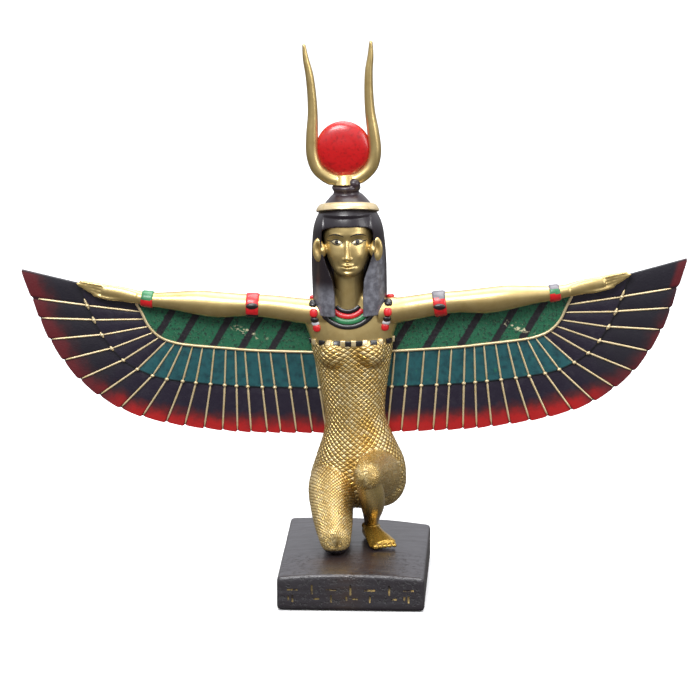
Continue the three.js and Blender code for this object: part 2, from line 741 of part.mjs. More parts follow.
// One wing plate on the +X side: three tiers of feathers that step down towards the edge, with
// a raised quill along each side of each feather and a scalloped outer edge.
function wingSkin() {
  const columns = [];
  for (let feather = 0; feather <= QUILLS; feather++) {
    columns.push({ at: feather, ridge: feather > 0, bulge: 0 });
    columns.push({ at: feather + QUILL_HALF_WIDTH, ridge: false, bulge: SCALLOP * 0.6 });
    columns.push({ at: feather + 1 - QUILL_HALF_WIDTH, ridge: false, bulge: SCALLOP });
  }
  columns.push({ at: QUILLS + 1, ridge: false, bulge: 0 });
  const tiers = [
    { from: UPPER_EDGE, to: COVERT_EDGE, t: 0, thickness: WING_THICKNESS.covert, quill: 0 },
    { from: UPPER_EDGE, to: COVERT_EDGE, t: 1, thickness: WING_THICKNESS.covert, quill: 0 },
    { from: COVERT_EDGE, to: CROSS_LINE, t: 0.06, thickness: WING_THICKNESS.inner, quill: 1 },
    { from: COVERT_EDGE, to: CROSS_LINE, t: 1, thickness: WING_THICKNESS.inner, quill: 1 },
    { from: CROSS_LINE, to: OUTER_EDGE, t: 0.05, thickness: WING_THICKNESS.outer, quill: 1 },
    { from: CROSS_LINE, to: OUTER_EDGE, t: 1, thickness: WING_THICKNESS.outer, quill: 1 },
  ];
  const backDepth = WING_THICKNESS.covert;
  const rings = columns.map(({ at, ridge, bulge }) => {
    const pointOf = ({ from, to, t }) => {
      const [x1, z1] = guide(from, at);
      const [x2, z2] = guide(to, at);
      const length = Math.hypot(x2 - x1, z2 - z1);
      const reach = t + (to === OUTER_EDGE && t === 1 ? bulge / length : 0);
      return [x1 + (x2 - x1) * reach, z1 + (z2 - z1) * reach];
    };
    const front = tiers.map((tier) => {
      const [x, z] = pointOf(tier);
      const raised = tier.thickness + (ridge ? QUILL_RIDGE * tier.quill : 0);
      return new THREE.Vector3(x, wingDepth(x) + backDepth - raised, z);
    });
    const back = [5, 0].map((n) => {
      const [x, z] = pointOf(tiers[n]);
      return new THREE.Vector3(x, wingDepth(x) + backDepth, z);
    });
    return [...front, ...back];
  });
  return skin(rings, middle(rings[0]), middle(rings[rings.length - 1]));
}

// The wing's root is cut to fit the body's flank, with room for glue.
function wing(side, name) {
  const plate = side > 0 ? wingSkin() : mirrored(wingSkin());
  const flank = solid(leaned(trunk(JOINT_GAP)));
  const cut = solid(leaned(plate)).subtract(flank);
  return meshOf(cut, name, COLOURS.teal, 0.45, 0.1);
}

const group = new THREE.Group();
group.add(plinth(), figure(), crown(), wing(1, 'wing_left'), wing(-1, 'wing_right'));

export default group;
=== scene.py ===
"""Winged Isis figurine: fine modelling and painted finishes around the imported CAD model.

Pieces are modelled in millimetres, in the frame's own axes, and brought to metres when they
are finished.
"""

import math

import bmesh
import bpy
import numpy as np
from bpy.props import FloatProperty, FloatVectorProperty, IntProperty, PointerProperty
from mathutils import Matrix, Vector, noise
from mathutils.bvhtree import BVHTree


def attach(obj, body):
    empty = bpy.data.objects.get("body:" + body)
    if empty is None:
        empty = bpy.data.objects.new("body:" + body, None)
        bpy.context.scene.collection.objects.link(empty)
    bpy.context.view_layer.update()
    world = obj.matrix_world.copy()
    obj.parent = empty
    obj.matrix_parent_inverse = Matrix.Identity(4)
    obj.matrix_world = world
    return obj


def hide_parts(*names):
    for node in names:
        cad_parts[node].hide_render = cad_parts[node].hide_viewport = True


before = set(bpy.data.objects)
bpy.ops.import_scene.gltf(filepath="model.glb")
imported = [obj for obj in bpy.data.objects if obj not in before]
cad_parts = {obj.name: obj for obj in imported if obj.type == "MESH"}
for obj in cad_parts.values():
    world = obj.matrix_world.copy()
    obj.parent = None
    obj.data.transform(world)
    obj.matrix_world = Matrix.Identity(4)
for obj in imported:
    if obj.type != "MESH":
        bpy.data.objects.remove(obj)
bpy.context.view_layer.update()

bl_info = {
    "name": "Winged Isis figurine",
    "version": (1, 0, 0),
    "blender": (4, 5, 0),
    "location": "View3D > Sidebar > Isis",
    "description": "Models and paints a small resin figurine of a kneeling winged goddess",
    "category": "Add Mesh",
}

METRES = 0.001

# Everything above the hips leans towards the viewer's left about this height.
LEAN = math.radians(1.5)
LEAN_HEIGHT = 38.0
BODY_X = -0.25

CROWN_LEAN = math.radians(1.8)
CROWN_FOOT = (-1.0, 7.2, 98.9)

PLINTH_HALF_WIDTH = 17.9
PLINTH_FRONT = -28.5
PLINTH_BACK = {-1: 29.6, 1: 24.4}
PLINTH_HEIGHT = 8.2
PLINTH_SWELL = 0.9

WING_FRONT = 10.1
WING_SWEEP = 2.0
WING_SPAN = 82.6
COVERT_THICKNESS = 2.5
INNER_THICKNESS = 2.1
OUTER_THICKNESS = 1.7

# The face is a plain classical one, laid out by thirds and fifths of the head.
HEAD_X = -0.65
CHIN_Z = 76.5
SKULL_TOP_Z = 94.6
HEAD_HEIGHT = SKULL_TOP_Z - CHIN_Z
EYE_Z = CHIN_Z + HEAD_HEIGHT / 2
NOSE_Z = CHIN_Z + HEAD_HEIGHT / 4
MOUTH_Z = NOSE_Z - HEAD_HEIGHT / 12
EYE_APART = HEAD_HEIGHT * 0.7 / 5
FACE_FRONT = -0.6

ACROSS_X = Vector((1, 0, 0))
ACROSS_Y = Vector((0, 1, 0))


# Settings a user may change

class FigurineSizes(bpy.types.PropertyGroup):
    """Sizes of the fine detail, in millimetres."""

    quill_width: FloatProperty(
        name="Quill width", description="Width of the raised gold lines between feathers, in mm",
        default=0.56, min=0.2, max=1.0)
    feathers: IntProperty(
        name="Feathers", description="Number of feathers in each wing", default=20, min=8, max=30)
    scale_relief: FloatProperty(
        name="Scale relief", description="Height of the scales on the dress, in mm",
        default=0.17, min=0.0, max=0.4)
    scales_around: IntProperty(
        name="Scales around", description="Scales once around the body", default=36, min=16, max=60)
    scale_height: FloatProperty(
        name="Scale height", description="Height of one scale on the body, in mm",
        default=1.25, min=0.6, max=3.0)


class FigurineColours(bpy.types.PropertyGroup):
    """Paints, as linear colours."""

    gold: FloatVectorProperty(
        name="Gold", description="Pale gold paint on skin and dress", subtype="COLOR",
        default=(0.66, 0.50, 0.21), min=0, max=1)
    # This amber is also painted as shade where the ears meet the cheeks.
    amber: FloatVectorProperty(
        name="Amber", description="Stain left in the hollows of the gold", subtype="COLOR",
        default=(0.33, 0.17, 0.02), min=0, max=1)
    black: FloatVectorProperty(
        name="Black", description="Black paint of the wig and plinth", subtype="COLOR",
        default=(0.013, 0.009, 0.013), min=0, max=1)
    red: FloatVectorProperty(
        name="Red", description="Red of the feather tips and bands", subtype="COLOR",
        default=(0.36, 0.008, 0.008), min=0, max=1)
    disc_red: FloatVectorProperty(
        name="Disc red", description="Gloss red of the sun disc", subtype="COLOR",
        default=(0.50, 0.004, 0.006), min=0, max=1)
    green: FloatVectorProperty(
        name="Green", description="Green of the small upper feathers", subtype="COLOR",
        default=(0.010, 0.120, 0.055), min=0, max=1)
    teal: FloatVectorProperty(
        name="Teal", description="Teal of the inner feathers", subtype="COLOR",
        default=(0.013, 0.085, 0.095), min=0, max=1)
    navy: FloatVectorProperty(
        name="Navy", description="Near-black blue of the long feathers", subtype="COLOR",
        default=(0.012, 0.008, 0.020), min=0, max=1)


def sizes():
    return bpy.context.scene.figurine_sizes


def colours():
    return bpy.context.scene.figurine_colours


# Modelling helpers

def lean_matrix():
    up = Matrix.Translation((0, 0, -LEAN_HEIGHT))
    turn = Matrix.Rotation(-LEAN, 4, "Y")
    return Matrix.Translation((BODY_X, 0, LEAN_HEIGHT)) @ turn @ up


def crown_matrix():
    return lean_matrix() @ Matrix.Translation(CROWN_FOOT) @ Matrix.Rotation(-CROWN_LEAN, 4, "Y")


def deselect():
    if bpy.context.mode != "OBJECT":
        bpy.ops.object.mode_set(mode="OBJECT")
    bpy.ops.object.select_all(action="DESELECT")


def pick(piece):
    """Selects one piece alone and makes it active."""
    deselect()
    piece.select_set(True)
    bpy.context.view_layer.objects.active = piece


def smooth_row(rows, t):
    """The row of numbers at t, from 0 to 1, on a smooth curve through the rows."""
    along = min(max(t, 0.0), 1.0) * (len(rows) - 1)
    i = min(int(along), len(rows) - 2)
    w = along - i
    at = [rows[max(0, min(len(rows) - 1, i + k))] for k in (-1, 0, 1, 2)]
    out = []
    for p0, p1, p2, p3 in zip(*at):
        b = (p2 - p0) * w
        c = (2 * p0 - 5 * p1 + 4 * p2 - p3) * w * w
        d = (3 * p1 - p0 - 3 * p2 + p3) * w ** 3
        out.append((2 * p1 + b + c + d) / 2)
    return out


def limb_station(rows, t, across):
    """Centre, the two directions of the section, the tangent and the two half sizes at t."""
    x, y, z, a, b = smooth_row(rows, t)
    ahead = Vector(smooth_row(rows, min(1, t + 0.01))[:3])
    behind = Vector(smooth_row(rows, max(0, t - 0.01))[:3])
    tangent = (ahead - behind).normalized()
    u = (across - across.dot(tangent) * tangent).normalized()
    return Vector((x, y, z)), u, tangent.cross(u), tangent, a, b


def limb_rings(rows, across=ACROSS_X, steps=24, start_dome=0.0, end_dome=0.0):
    """Sections along a smooth limb, with each end rounded off over the length given."""
    rings = []
    dome_steps = 7
    c, u, v, w, a, b = limb_station(rows, 0, across)
    for k in range(dome_steps - 1, 0, -1):
        if start_dome:
            turn = math.pi / 2 * k / dome_steps
            shrink = math.cos(turn)
            rings.append((c - w * start_dome * math.sin(turn), u, v, a * shrink, b * shrink))
    for i in range(steps + 1):
        c, u, v, w, a, b = limb_station(rows, i / steps, across)
        rings.append((c, u, v, a, b))
    for k in range(1, dome_steps):
        if end_dome:
            turn = math.pi / 2 * k / dome_steps
            shrink = math.cos(turn)
            rings.append((c + w * end_dome * math.sin(turn), u, v, a * shrink, b * shrink))
    return rings


def level_rings(rows, steps=24, extra=0.0):
    """Level sections. Each row is height, middle x, middle y, half width, half depth."""
    rings = []
    for i in range(steps + 1):
        z, x, y, a, b = smooth_row(rows, i / steps)
        rings.append((Vector((x, y, z)), ACROSS_X, ACROSS_Y, a + extra, b + extra))
    return rings


def mirrored_rings(rings):
    """The same sections on the other side of the body's middle."""
    flip = Vector((-1, 1, 1))
    return [(c * flip, (u * flip), (v * flip), a, b) for c, u, v, a, b in rings]


class Clay:
    """One mesh built in edit mode, lump by lump. Finished lumps are hidden till the end."""

    def __init__(self, name):
        deselect()
        bpy.ops.mesh.primitive_circle_add(vertices=3, radius=1)
        self.piece = bpy.context.object
        self.piece.name = name
        self.piece.data.name = name
        bpy.ops.object.mode_set(mode="EDIT")
        bpy.ops.mesh.delete(type="VERT")

    def ring(self, centre, u, v, half_u, half_v, sides):
        turn = Matrix((u, v, u.cross(v))).transposed()
        bpy.ops.mesh.select_all(action="DESELECT")
        bpy.ops.mesh.primitive_circle_add(
            vertices=sides, radius=1, location=centre, rotation=turn.to_euler())
        bpy.ops.transform.resize(
            value=(half_u, half_v, 1), orient_type="GLOBAL", orient_matrix=turn,
            orient_matrix_type="GLOBAL", center_override=centre)

    def strand(self, rings, sides=28):
        """Bridges a row of sections into one closed lump."""
        for ring in rings:
            self.ring(*ring, sides)
        bpy.ops.mesh.select_all(action="SELECT")
        bpy.ops.mesh.bridge_edge_loops()
        bpy.ops.mesh.select_all(action="SELECT")
        bpy.ops.mesh.fill_holes(sides=0)
        self.put_aside()

    def ball(self, centre, radii, segments=28, rings=18):
        bpy.ops.mesh.select_all(action="DESELECT")
        bpy.ops.mesh.primitive_uv_sphere_add(
            segments=segments, ring_count=rings, radius=1, location=centre)
        bpy.ops.transform.resize(value=radii, center_override=centre)
        self.put_aside()

    def block(self, centre, size, bevel=0.0, segments=3, turn=None):
        bpy.ops.mesh.select_all(action="DESELECT")
        turn = turn or Matrix.Identity(3)
        bpy.ops.mesh.primitive_cube_add(size=1, location=centre, rotation=turn.to_euler())
        bpy.ops.transform.resize(
            value=size, orient_type="GLOBAL", orient_matrix=turn,
            orient_matrix_type="GLOBAL", center_override=centre)
        if bevel:
            bpy.ops.mesh.bevel(offset=bevel, segments=segments, affect="EDGES")
        self.put_aside()

    def put_aside(self):
        bpy.ops.mesh.select_all(action="SELECT")
        bpy.ops.mesh.normals_make_consistent(inside=False)
        bpy.ops.mesh.hide(unselected=False)

    def done(self, matrix=None):
        bpy.ops.mesh.reveal(select=False)
        bpy.ops.object.mode_set(mode="OBJECT")
        if matrix is not None:
            self.piece.data.transform(matrix)
        return self.piece


def apply_modifier(piece, kind, **settings):
    pick(piece)
    modifier = piece.modifiers.new(kind.title(), kind)
    for name, value in settings.items():
        setattr(modifier, name, value)
    bpy.ops.object.modifier_apply(modifier=modifier.name)
    return piece


def fuse(piece, voxel, smoothing=4, factor=0.5):
    """Melts overlapping lumps into one skin."""
    apply_modifier(piece, "REMESH", mode="VOXEL", voxel_size=voxel, adaptivity=0.0)
    if smoothing:
        apply_modifier(piece, "SMOOTH", factor=factor, iterations=smoothing)
    return piece


def combine(piece, tool, operation):
    """Cuts, joins or keeps the common part of two closed meshes."""
    apply_modifier(piece, "BOOLEAN", operation=operation, object=tool, solver="EXACT")
    bpy.data.objects.remove(tool)
    return piece


def join(name, pieces):
    deselect()
    for piece in pieces:
        piece.select_set(True)
    bpy.context.view_layer.objects.active = pieces[0]
    bpy.ops.object.join()
    pieces[0].name = name
    return pieces[0]


def copy_of(piece, name):
    twin = piece.copy()
    twin.data = piece.data.copy()
    twin.name = name
    bpy.context.scene.collection.objects.link(twin)
    return twin


def slice_off(piece, point, normal):
    """Cuts the piece flat at a plane, closes it, and drops the side that the normal points to."""
    pick(piece)
    bpy.ops.object.mode_set(mode="EDIT")
    bpy.ops.mesh.select_all(action="SELECT")
    bpy.ops.mesh.bisect(plane_co=point, plane_no=normal, use_fill=True, clear_outer=True)
    bpy.ops.object.mode_set(mode="OBJECT")
    return piece


def points_of(piece):
    co = np.empty(len(piece.data.vertices) * 3)
    piece.data.vertices.foreach_get("co", co)
    return co.reshape(-1, 3)


def normals_of(piece):
    no = np.empty(len(piece.data.vertices) * 3)
    piece.data.vertices.foreach_get("normal", no)
    return no.reshape(-1, 3)


def set_points(piece, co):
    piece.data.vertices.foreach_set("co", np.ascontiguousarray(co).ravel())
    piece.data.update()


def upright(co):
    """Points of the leaning body, in its own upright frame."""
    inverse = np.array(lean_matrix().inverted())
    return co @ inverse[:3, :3].T + inverse[:3, 3]


def surface_of(piece):
    """A search tree of the piece's surface, in millimetres."""
    tree_mesh = bmesh.new()
    tree_mesh.from_mesh(piece.data)
    tree = BVHTree.FromBMesh(tree_mesh)
    tree_mesh.free()
    return tree


def front_of(tree, x, z, matrix):
    """Where a line from the front first meets a surface, and the way the surface faces.

    Above the shoulders the line meets nothing, and the nearest spot of their tops is taken.
    """
    point, normal, _, _ = tree.ray_cast(matrix @ Vector((x, -60, z)), Vector((0, 1, 0)))
    if point is None:
        point, normal, _, _ = tree.find_nearest(matrix @ Vector((x, 8.0, z)))
    return point, normal


def complete(piece, paint, replaces=(), angle=50):
    """Brings a finished piece to metres, shades and paints it, and ties it to the frame."""
    piece.data.transform(Matrix.Scale(METRES, 4))
    piece.data.update()
    pick(piece)
    bpy.ops.object.shade_smooth_by_angle(angle=math.radians(angle))
    if paint is not None:
        piece.data.materials.clear()
        for one in paint if isinstance(paint, (list, tuple)) else [paint]:
            piece.data.materials.append(one)
    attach(piece, "root")
    if replaces:
        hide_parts(*replaces)
    return piece


# Shader helpers

class Wire:
    """A number or a vector on its way through a material, with sums written as Python."""

    def __init__(self, paint, socket):
        self.paint = paint
        self.socket = socket

    def maths(self, operation, *others, clamp=False):
        values = {n + 1: other for n, other in enumerate(others)}
        node = self.paint.node(
            "ShaderNodeMath", {"operation": operation, "use_clamp": clamp}, {0: self, **values})
        return Wire(self.paint, node.outputs[0])

    def __add__(self, other):
        return self.maths("ADD", other)

    __radd__ = __add__

    def __sub__(self, other):
        return self.maths("SUBTRACT", other)

    def __rsub__(self, other):
        return (self * -1) + other

    def __mul__(self, other):
        return self.maths("MULTIPLY", other)

    __rmul__ = __mul__

    def __truediv__(self, other):
        return self.maths("DIVIDE", other)

    def __pow__(self, other):
        return self.maths("POWER", other)

    def __abs__(self):
        return self.maths("ABSOLUTE")

    def floor(self):
        return self.maths("FLOOR")

    def fraction(self):
        return self.maths("FRACT")

    def least(self, other):
        return self.maths("MINIMUM", other)

    def most(self, other):
        return self.maths("MAXIMUM", other)

    def rises(self, low, high):
        """0 below low, 1 above high and smooth between. With low above high it falls."""
        flip = low > high
        start, end = (high, low) if flip else (low, high)
        node = self.paint.node(
            "ShaderNodeMapRange", {"interpolation_type": "SMOOTHSTEP"},
            {"Value": self, "From Min": start, "From Max": end,
             "To Min": float(flip), "To Max": float(not flip)})
        return Wire(self.paint, node.outputs[0])


class Paint:
    """One material, made of nodes."""

    def __init__(self, name):
        self.material = bpy.data.materials.new(name)
        self.material.use_nodes = True
        self.tree = self.material.node_tree
        self.shader = self.tree.nodes["Principled BSDF"]

    def plug(self, socket, value):
        if isinstance(value, Wire):
            value = value.socket
        if isinstance(value, bpy.types.NodeSocket):
            self.tree.links.new(value, socket)
        elif socket.type == "RGBA":
            socket.default_value = (*value[:3], 1.0)
        else:
            socket.default_value = value

    def node(self, kind, settings=None, inputs=None):
        node = self.tree.nodes.new(kind)
        for name, value in (settings or {}).items():
            if name == "stops":
                self.set_stops(node.color_ramp, value)
            else:
                setattr(node, name, value)
        for name, value in (inputs or {}).items():
            self.plug(node.inputs[name], value)
        return node

    def set_stops(self, ramp, stops):
        while len(ramp.elements) < len(stops):
            ramp.elements.new(1.0)
        for element, (place, colour) in zip(ramp.elements, stops):
            element.position = place
            element.color = (*colour[:3], 1.0)

    def mix(self, first, second, factor):
        """A colour between two colours."""
        node = self.node("ShaderNodeMix", {"data_type": "RGBA", "clamp_factor": True})
        ends = {socket.identifier: socket for socket in node.inputs}
        self.plug(ends["Factor_Float"], factor)
        self.plug(ends["A_Color"], first)
        self.plug(ends["B_Color"], second)
        return Wire(self, next(s for s in node.outputs if s.identifier == "Result_Color"))

    def object_place(self):
        return self.node("ShaderNodeTexCoord").outputs["Object"]

    def body_place(self):
        """Object coordinates in millimetres, in the upright frame of the leaning body."""
        turn = Matrix.Rotation(LEAN, 3, "Y")
        shift = turn @ Vector((-BODY_X, 0, -LEAN_HEIGHT)) + Vector((0, 0, LEAN_HEIGHT))
        node = self.node(
            "ShaderNodeMapping", {"vector_type": "POINT"},
            {"Vector": self.object_place(), "Location": shift,
             "Rotation": (0, LEAN, 0), "Scale": (1 / METRES,) * 3})
        return node.outputs[0]

    def world_place(self):
        """Object coordinates in millimetres."""
        node = self.node(
            "ShaderNodeMapping", {"vector_type": "POINT"},
            {"Vector": self.object_place(), "Scale": (1 / METRES,) * 3})
        return node.outputs[0]

    def pattern_place(self):
        return self.node("ShaderNodeUVMap", {"uv_map": "pattern"}).outputs[0]

    def split(self, vector):
        node = self.node("ShaderNodeSeparateXYZ", None, {0: vector})
        return [Wire(self, socket) for socket in node.outputs]

    def gather(self, x, y, z=0.0):
        return self.node("ShaderNodeCombineXYZ", None, {0: x, 1: y, 2: z}).outputs[0]

    def grain(self, vector, scale, detail=3.0, roughness=0.55):
        """Soft cloudy noise, from 0 to 1, with features about 1 / scale of the vector's unit."""
        node = self.node(
            "ShaderNodeTexNoise", None,
            {"Vector": vector, "Scale": scale, "Detail": detail, "Roughness": roughness})
        return Wire(self, node.outputs["Fac"])

    def cells(self, vector, scale=1.0, feature="F1"):
        node = self.node(
            "ShaderNodeTexVoronoi", {"feature": feature}, {"Vector": vector, "Scale": scale})
        return Wire(self, node.outputs["Distance"])

    def dice(self, vector):
        """One random number for each place of the vector."""
        node = self.node("ShaderNodeTexWhiteNoise", {"noise_dimensions": "2D"}, {"Vector": vector})
        return Wire(self, node.outputs["Value"])

    def relief(self, height, depth_mm, strength=1.0, under=None):
        inputs = {"Height": height, "Distance": depth_mm * METRES, "Strength": strength}
        if under is not None:
            inputs["Normal"] = under
        return self.node("ShaderNodeBump", None, inputs).outputs[0]

    def finish(self, **sockets):
        for name, value in sockets.items():
            self.plug(self.shader.inputs[name.replace("_", " ").title().replace("Ior", "IOR")], value)
        return self.material


def gold_skin(paint, place, wear_scale=0.35):
    """Pale gold with soft darker clouds, as brushed-on metallic paint gives."""
    tones = colours()
    cloud = paint.grain(place, wear_scale, 4.0).rises(0.35, 0.7)
    deeper = tuple(0.78 * a + 0.22 * b for a, b in zip(tones.gold, tones.amber))
    return paint.mix(tones.gold, deeper, cloud)


def add_gold_finish(paint, colour, place, roughness=0.34, bump=None):
    speck = paint.grain(place, 3.0, 4.0)
    fine = paint.relief(paint.grain(place, 2.2, 5.0, 0.6), 0.02, 0.5, bump)
    return paint.finish(
        base_color=colour, metallic=0.82, roughness=speck * 0.16 + (roughness - 0.08),
        coat_weight=0.35, coat_roughness=0.22, normal=fine)


def skin_paint(name="gold_skin"):
    paint = Paint(name)
    place = paint.body_place()
    return add_gold_finish(paint, gold_skin(paint, place), place)


def bright_gold_paint(name, roughness=0.3):
    """Thin gold of the quills and bands, a little creamier than the skin."""
    paint = Paint(name)
    place = paint.world_place()
    cream = (0.74, 0.60, 0.36)
    worn = paint.grain(place, 0.9, 4.0).rises(0.5, 0.75)
    colour = paint.mix(cream, colours().gold, worn)
    fine = paint.relief(paint.grain(place, 4.0, 4.0), 0.03, 0.6)
    return paint.finish(
        base_color=colour, metallic=0.55, roughness=paint.grain(place, 2.0) * 0.2 + roughness,
        normal=fine)


def plain_paint(name, colour, roughness=0.3, coat=0.3):
    """Brushed gloss paint in one colour, slightly uneven in tone and gloss."""
    paint = Paint(name)
    place = paint.world_place()
    darker = tuple(0.55 * c for c in colour)
    tone = paint.mix(colour, darker, paint.grain(place, 1.1, 4.0).rises(0.45, 0.8))
    fine = paint.relief(paint.grain(place, 3.0, 4.0), 0.03, 0.5)
    return paint.finish(
        base_color=tone, roughness=paint.grain(place, 1.6) * 0.18 + roughness,
        coat_weight=coat, coat_roughness=0.18, normal=fine)


# Plinth

def plinth_strokes():
    """Two rows of shallow bars along the front face, in seven groups. They spell nothing."""
    bars = []
    groups = 7
    pitch = 4.7
    for g in range(groups):
        x = (g - (groups - 1) / 2) * pitch
        lying = g % 2 == 0
        wide, slim = 2.6, 0.45
        bars.append((x, 5.2, *((wide, slim) if lying else (slim, wide))))
        offset = 0 if lying else 1.1
        bars.append((x + offset, 3.0, *((slim, 1.8) if lying else (1.5, slim))))
        if g % 3 == 0:
            bars.append((x - 1.0, 3.1, slim, 1.2))
    return bars


def swell_at(x):
    return PLINTH_SWELL * (1 - np.clip(x / PLINTH_HALF_WIDTH, -1, 1) ** 2)


def model_plinth():
    deselect()
    depth = PLINTH_BACK[-1] - PLINTH_FRONT
    bpy.ops.mesh.primitive_cube_add(size=1, location=(0, PLINTH_FRONT + depth / 2, 0))
    body = bpy.context.object
    body.name = "plinth_body"
    bpy.ops.object.mode_set(mode="EDIT")
    bpy.ops.transform.resize(
        value=(2 * PLINTH_HALF_WIDTH, depth, PLINTH_HEIGHT),
        center_override=(0, PLINTH_FRONT + depth / 2, 0))
    bpy.ops.transform.translate(value=(0, 0, PLINTH_HEIGHT / 2))
    bpy.ops.object.mode_set(mode="OBJECT")
    body.data.transform(body.matrix_world)
    body.matrix_world = Matrix.Identity(4)
    for vertex in body.data.vertices:
        if vertex.co.x > 0 and vertex.co.y > 0:
            vertex.co.y = PLINTH_BACK[1]
    bpy.ops.object.mode_set(mode="EDIT")
    bpy.ops.mesh.select_all(action="SELECT")
    bpy.ops.mesh.bevel(offset=0.8, segments=4, affect="EDGES")
    bpy.ops.object.mode_set(mode="OBJECT")
    fuse(body, 0.345, 2)
    co = points_of(body)
    height = np.clip(co[:, 2] / PLINTH_HEIGHT, 0, 1)
    co[:, 2] += swell_at(co[:, 0]) * height ** 2
    top = np.clip((co[:, 2] - PLINTH_HEIGHT + 0.6) / 0.6, 0, 1)
    for n in np.nonzero(top > 0.2)[0]:
        x, y, _ = co[n]
        brush = noise.noise(Vector((x * 0.15, y * 0.5, 2.0))) * 0.05
        pit = noise.noise(Vector((x * 0.9, y * 0.9, 7.0)))
        rough = 1.0 if y < -6 else 0.35
        co[n, 2] += top[n] * (brush - 0.16 * rough * max(0.0, pit - 0.22))
    set_points(body, co)
    return body


def carve_strokes(body):
    """Cuts the bars 0.35 mm into the front face. The tool's own paint stays in the grooves."""
    clay = Clay("stroke_tool")
    for x, z, width, height in plinth_strokes():
        clay.block((x, PLINTH_FRONT, z), (width, 0.7, height), 0.08, 2)
    tool = clay.done()
    tool.data.materials.append(body.data.materials[0])
    tool.data.materials.append(body.data.materials[1])
    for face in tool.data.polygons:
        face.material_index = 1
    pick(body)
    modifier = body.modifiers.new("Strokes", "BOOLEAN")
    modifier.operation = "DIFFERENCE"
    modifier.object = tool
    modifier.solver = "EXACT"
    modifier.material_mode = "TRANSFER"
    bpy.ops.object.modifier_apply(modifier="Strokes")
    bpy.data.objects.remove(tool)
    return body


def plinth_paint():
    tones = colours()
    paint = Paint("black_plinth")
    place = paint.world_place()
    x, y, z = paint.split(place)
    brown = (0.030, 0.016, 0.012)
    middle = (abs(x + 1.0) / 9.0 + abs(y + 16.0) / 16.0).rises(1.5, 0.5)
    base = paint.mix(tones.black, brown, middle)
    # Painted sheen: long lilac-grey streaks, lighter than the black.
    sheen_streak = paint.grain(paint.gather(x * 0.05, y * 0.8, z), 1.0, 3.0).rises(0.4, 0.8)
    streaked_sheen = paint.mix(base, (0.030, 0.028, 0.034), sheen_streak)
    rough_front = y.rises(-4.0, -12.0)
    pits = paint.grain(place, 1.1, 5.0, 0.65).rises(0.52, 0.72) * rough_front
    colour = paint.mix(streaked_sheen, (0.004, 0.003, 0.004), pits)
    height = pits * -1.0 + paint.grain(place, 2.6, 3.0) * 0.25
    bump = paint.relief(height, 0.12, 0.8)
    on_side = z.rises(8.1, 7.4)
    rough = 0.26 + paint.grain(place, 0.5, 3.0) * 0.14 + on_side * 0.16 + pits * 0.2
    return paint.finish(
        base_color=colour, roughness=rough, coat_weight=0.15, coat_roughness=0.25,
        specular_ior_level=0.75, normal=bump)


def stroke_paint():
    """Dull gold that only partly fills the grooves."""
    tones = colours()
    paint = Paint("stroke_gold")
    place = paint.world_place()
    x, _, _ = paint.split(place)
    worn = paint.grain(place, 0.9, 3.0).rises(0.42, 0.62)
    dim = tuple(0.5 * c for c in tones.gold)
    lost = (0.05, 0.04, 0.045)
    bright = paint.mix(dim, tones.gold, x.rises(-6.0, 12.0))
    return paint.finish(
        base_color=paint.mix(bright, lost, worn), metallic=0.6, roughness=0.42)


# Trunk, dress and legs

# Height, middle x, middle y, half width and half depth of the trunk, from seat to throat.
TRUNK = [
    (16.6, 0.6, 11.4, 4.5, 4.0),
    (18.4, 0.3, 11.2, 8.6, 6.8),
    (20.8, 0.1, 10.9, 10.6, 8.1),
    (24.4, 0.1, 10.3, 11.9, 8.5),
    (28.6, 0.5, 9.7, 11.1, 7.7),
    (32.6, 0.4, 9.2, 9.6, 6.6),
    (36.4, 0.2, 8.7, 8.2, 5.5),
    (40.4, -0.2, 8.3, 7.4, 4.9),
    (45.5, -0.4, 8.1, 7.9, 4.9),
    (50.6, -0.3, 7.9, 8.6, 5.1),
    (55.7, -0.4, 7.7, 9.6, 5.4),
    (60.8, -0.5, 7.6, 10.5, 5.4),
    (65.2, -0.5, 7.6, 12.0, 4.9),
    (68.6, -0.5, 7.6, 11.6, 4.2),
    (70.6, -0.6, 7.4, 8.0, 3.7),
    (71.8, -0.7, 7.2, 4.6, 3.2),
]
NECKLINE_Z = 59.4

# Limbs below the waist, as x, y, z, half width across the body, half thickness.
KNEELING_THIGH = [
    (-5.6, 12.0, 23.4, 5.9, 6.6),
    (-6.0, 6.0, 21.8, 6.0, 6.6),
    (-5.9, 0.5, 18.9, 5.3, 5.9),
    (-5.2, -5.5, 15.8, 4.6, 5.2),
    (-4.6, -10.2, 13.3, 3.8, 4.2),
]
KNEELING_SHIN = [
    (-4.5, -9.0, 12.2, 3.5, 3.4),
    (-4.7, -2.0, 12.2, 3.5, 3.4),
    (-4.8, 6.0, 12.2, 3.3, 3.3),
    (-4.8, 12.5, 12.8, 2.5, 2.7),
    (-4.8, 16.2, 13.8, 2.0, 2.3),
]
TUCKED_FOOT = [
    (-4.8, 16.4, 17.2, 1.7, 1.8),
    (-4.8, 17.6, 14.4, 2.1, 2.0),
    (-4.9, 18.8, 11.6, 2.6, 1.6),
    (-4.9, 19.0, 10.2, 2.8, 1.3),
]
RAISED_THIGH = [
    (5.2, 10.0, 25.0, 6.1, 6.8),
    (5.0, 4.0, 26.4, 5.4, 6.0),
    (4.4, -2.5, 27.8, 4.3, 4.8),
    (3.7, -7.6, 28.8, 3.6, 3.9),
    (3.3, -9.6, 29.1, 3.4, 3.5),
]
RAISED_SHIN = [
    (3.6, -9.0, 27.4, 2.9, 2.6),
    (4.1, -6.6, 23.9, 3.3, 3.1),
    (4.3, -3.2, 20.4, 3.0, 3.2),
    (4.0, 1.0, 17.0, 2.3, 2.6),
    (3.7, 4.2, 14.0, 1.8, 2.1),
    (3.6, 5.4, 11.6, 2.0, 2.4),
]
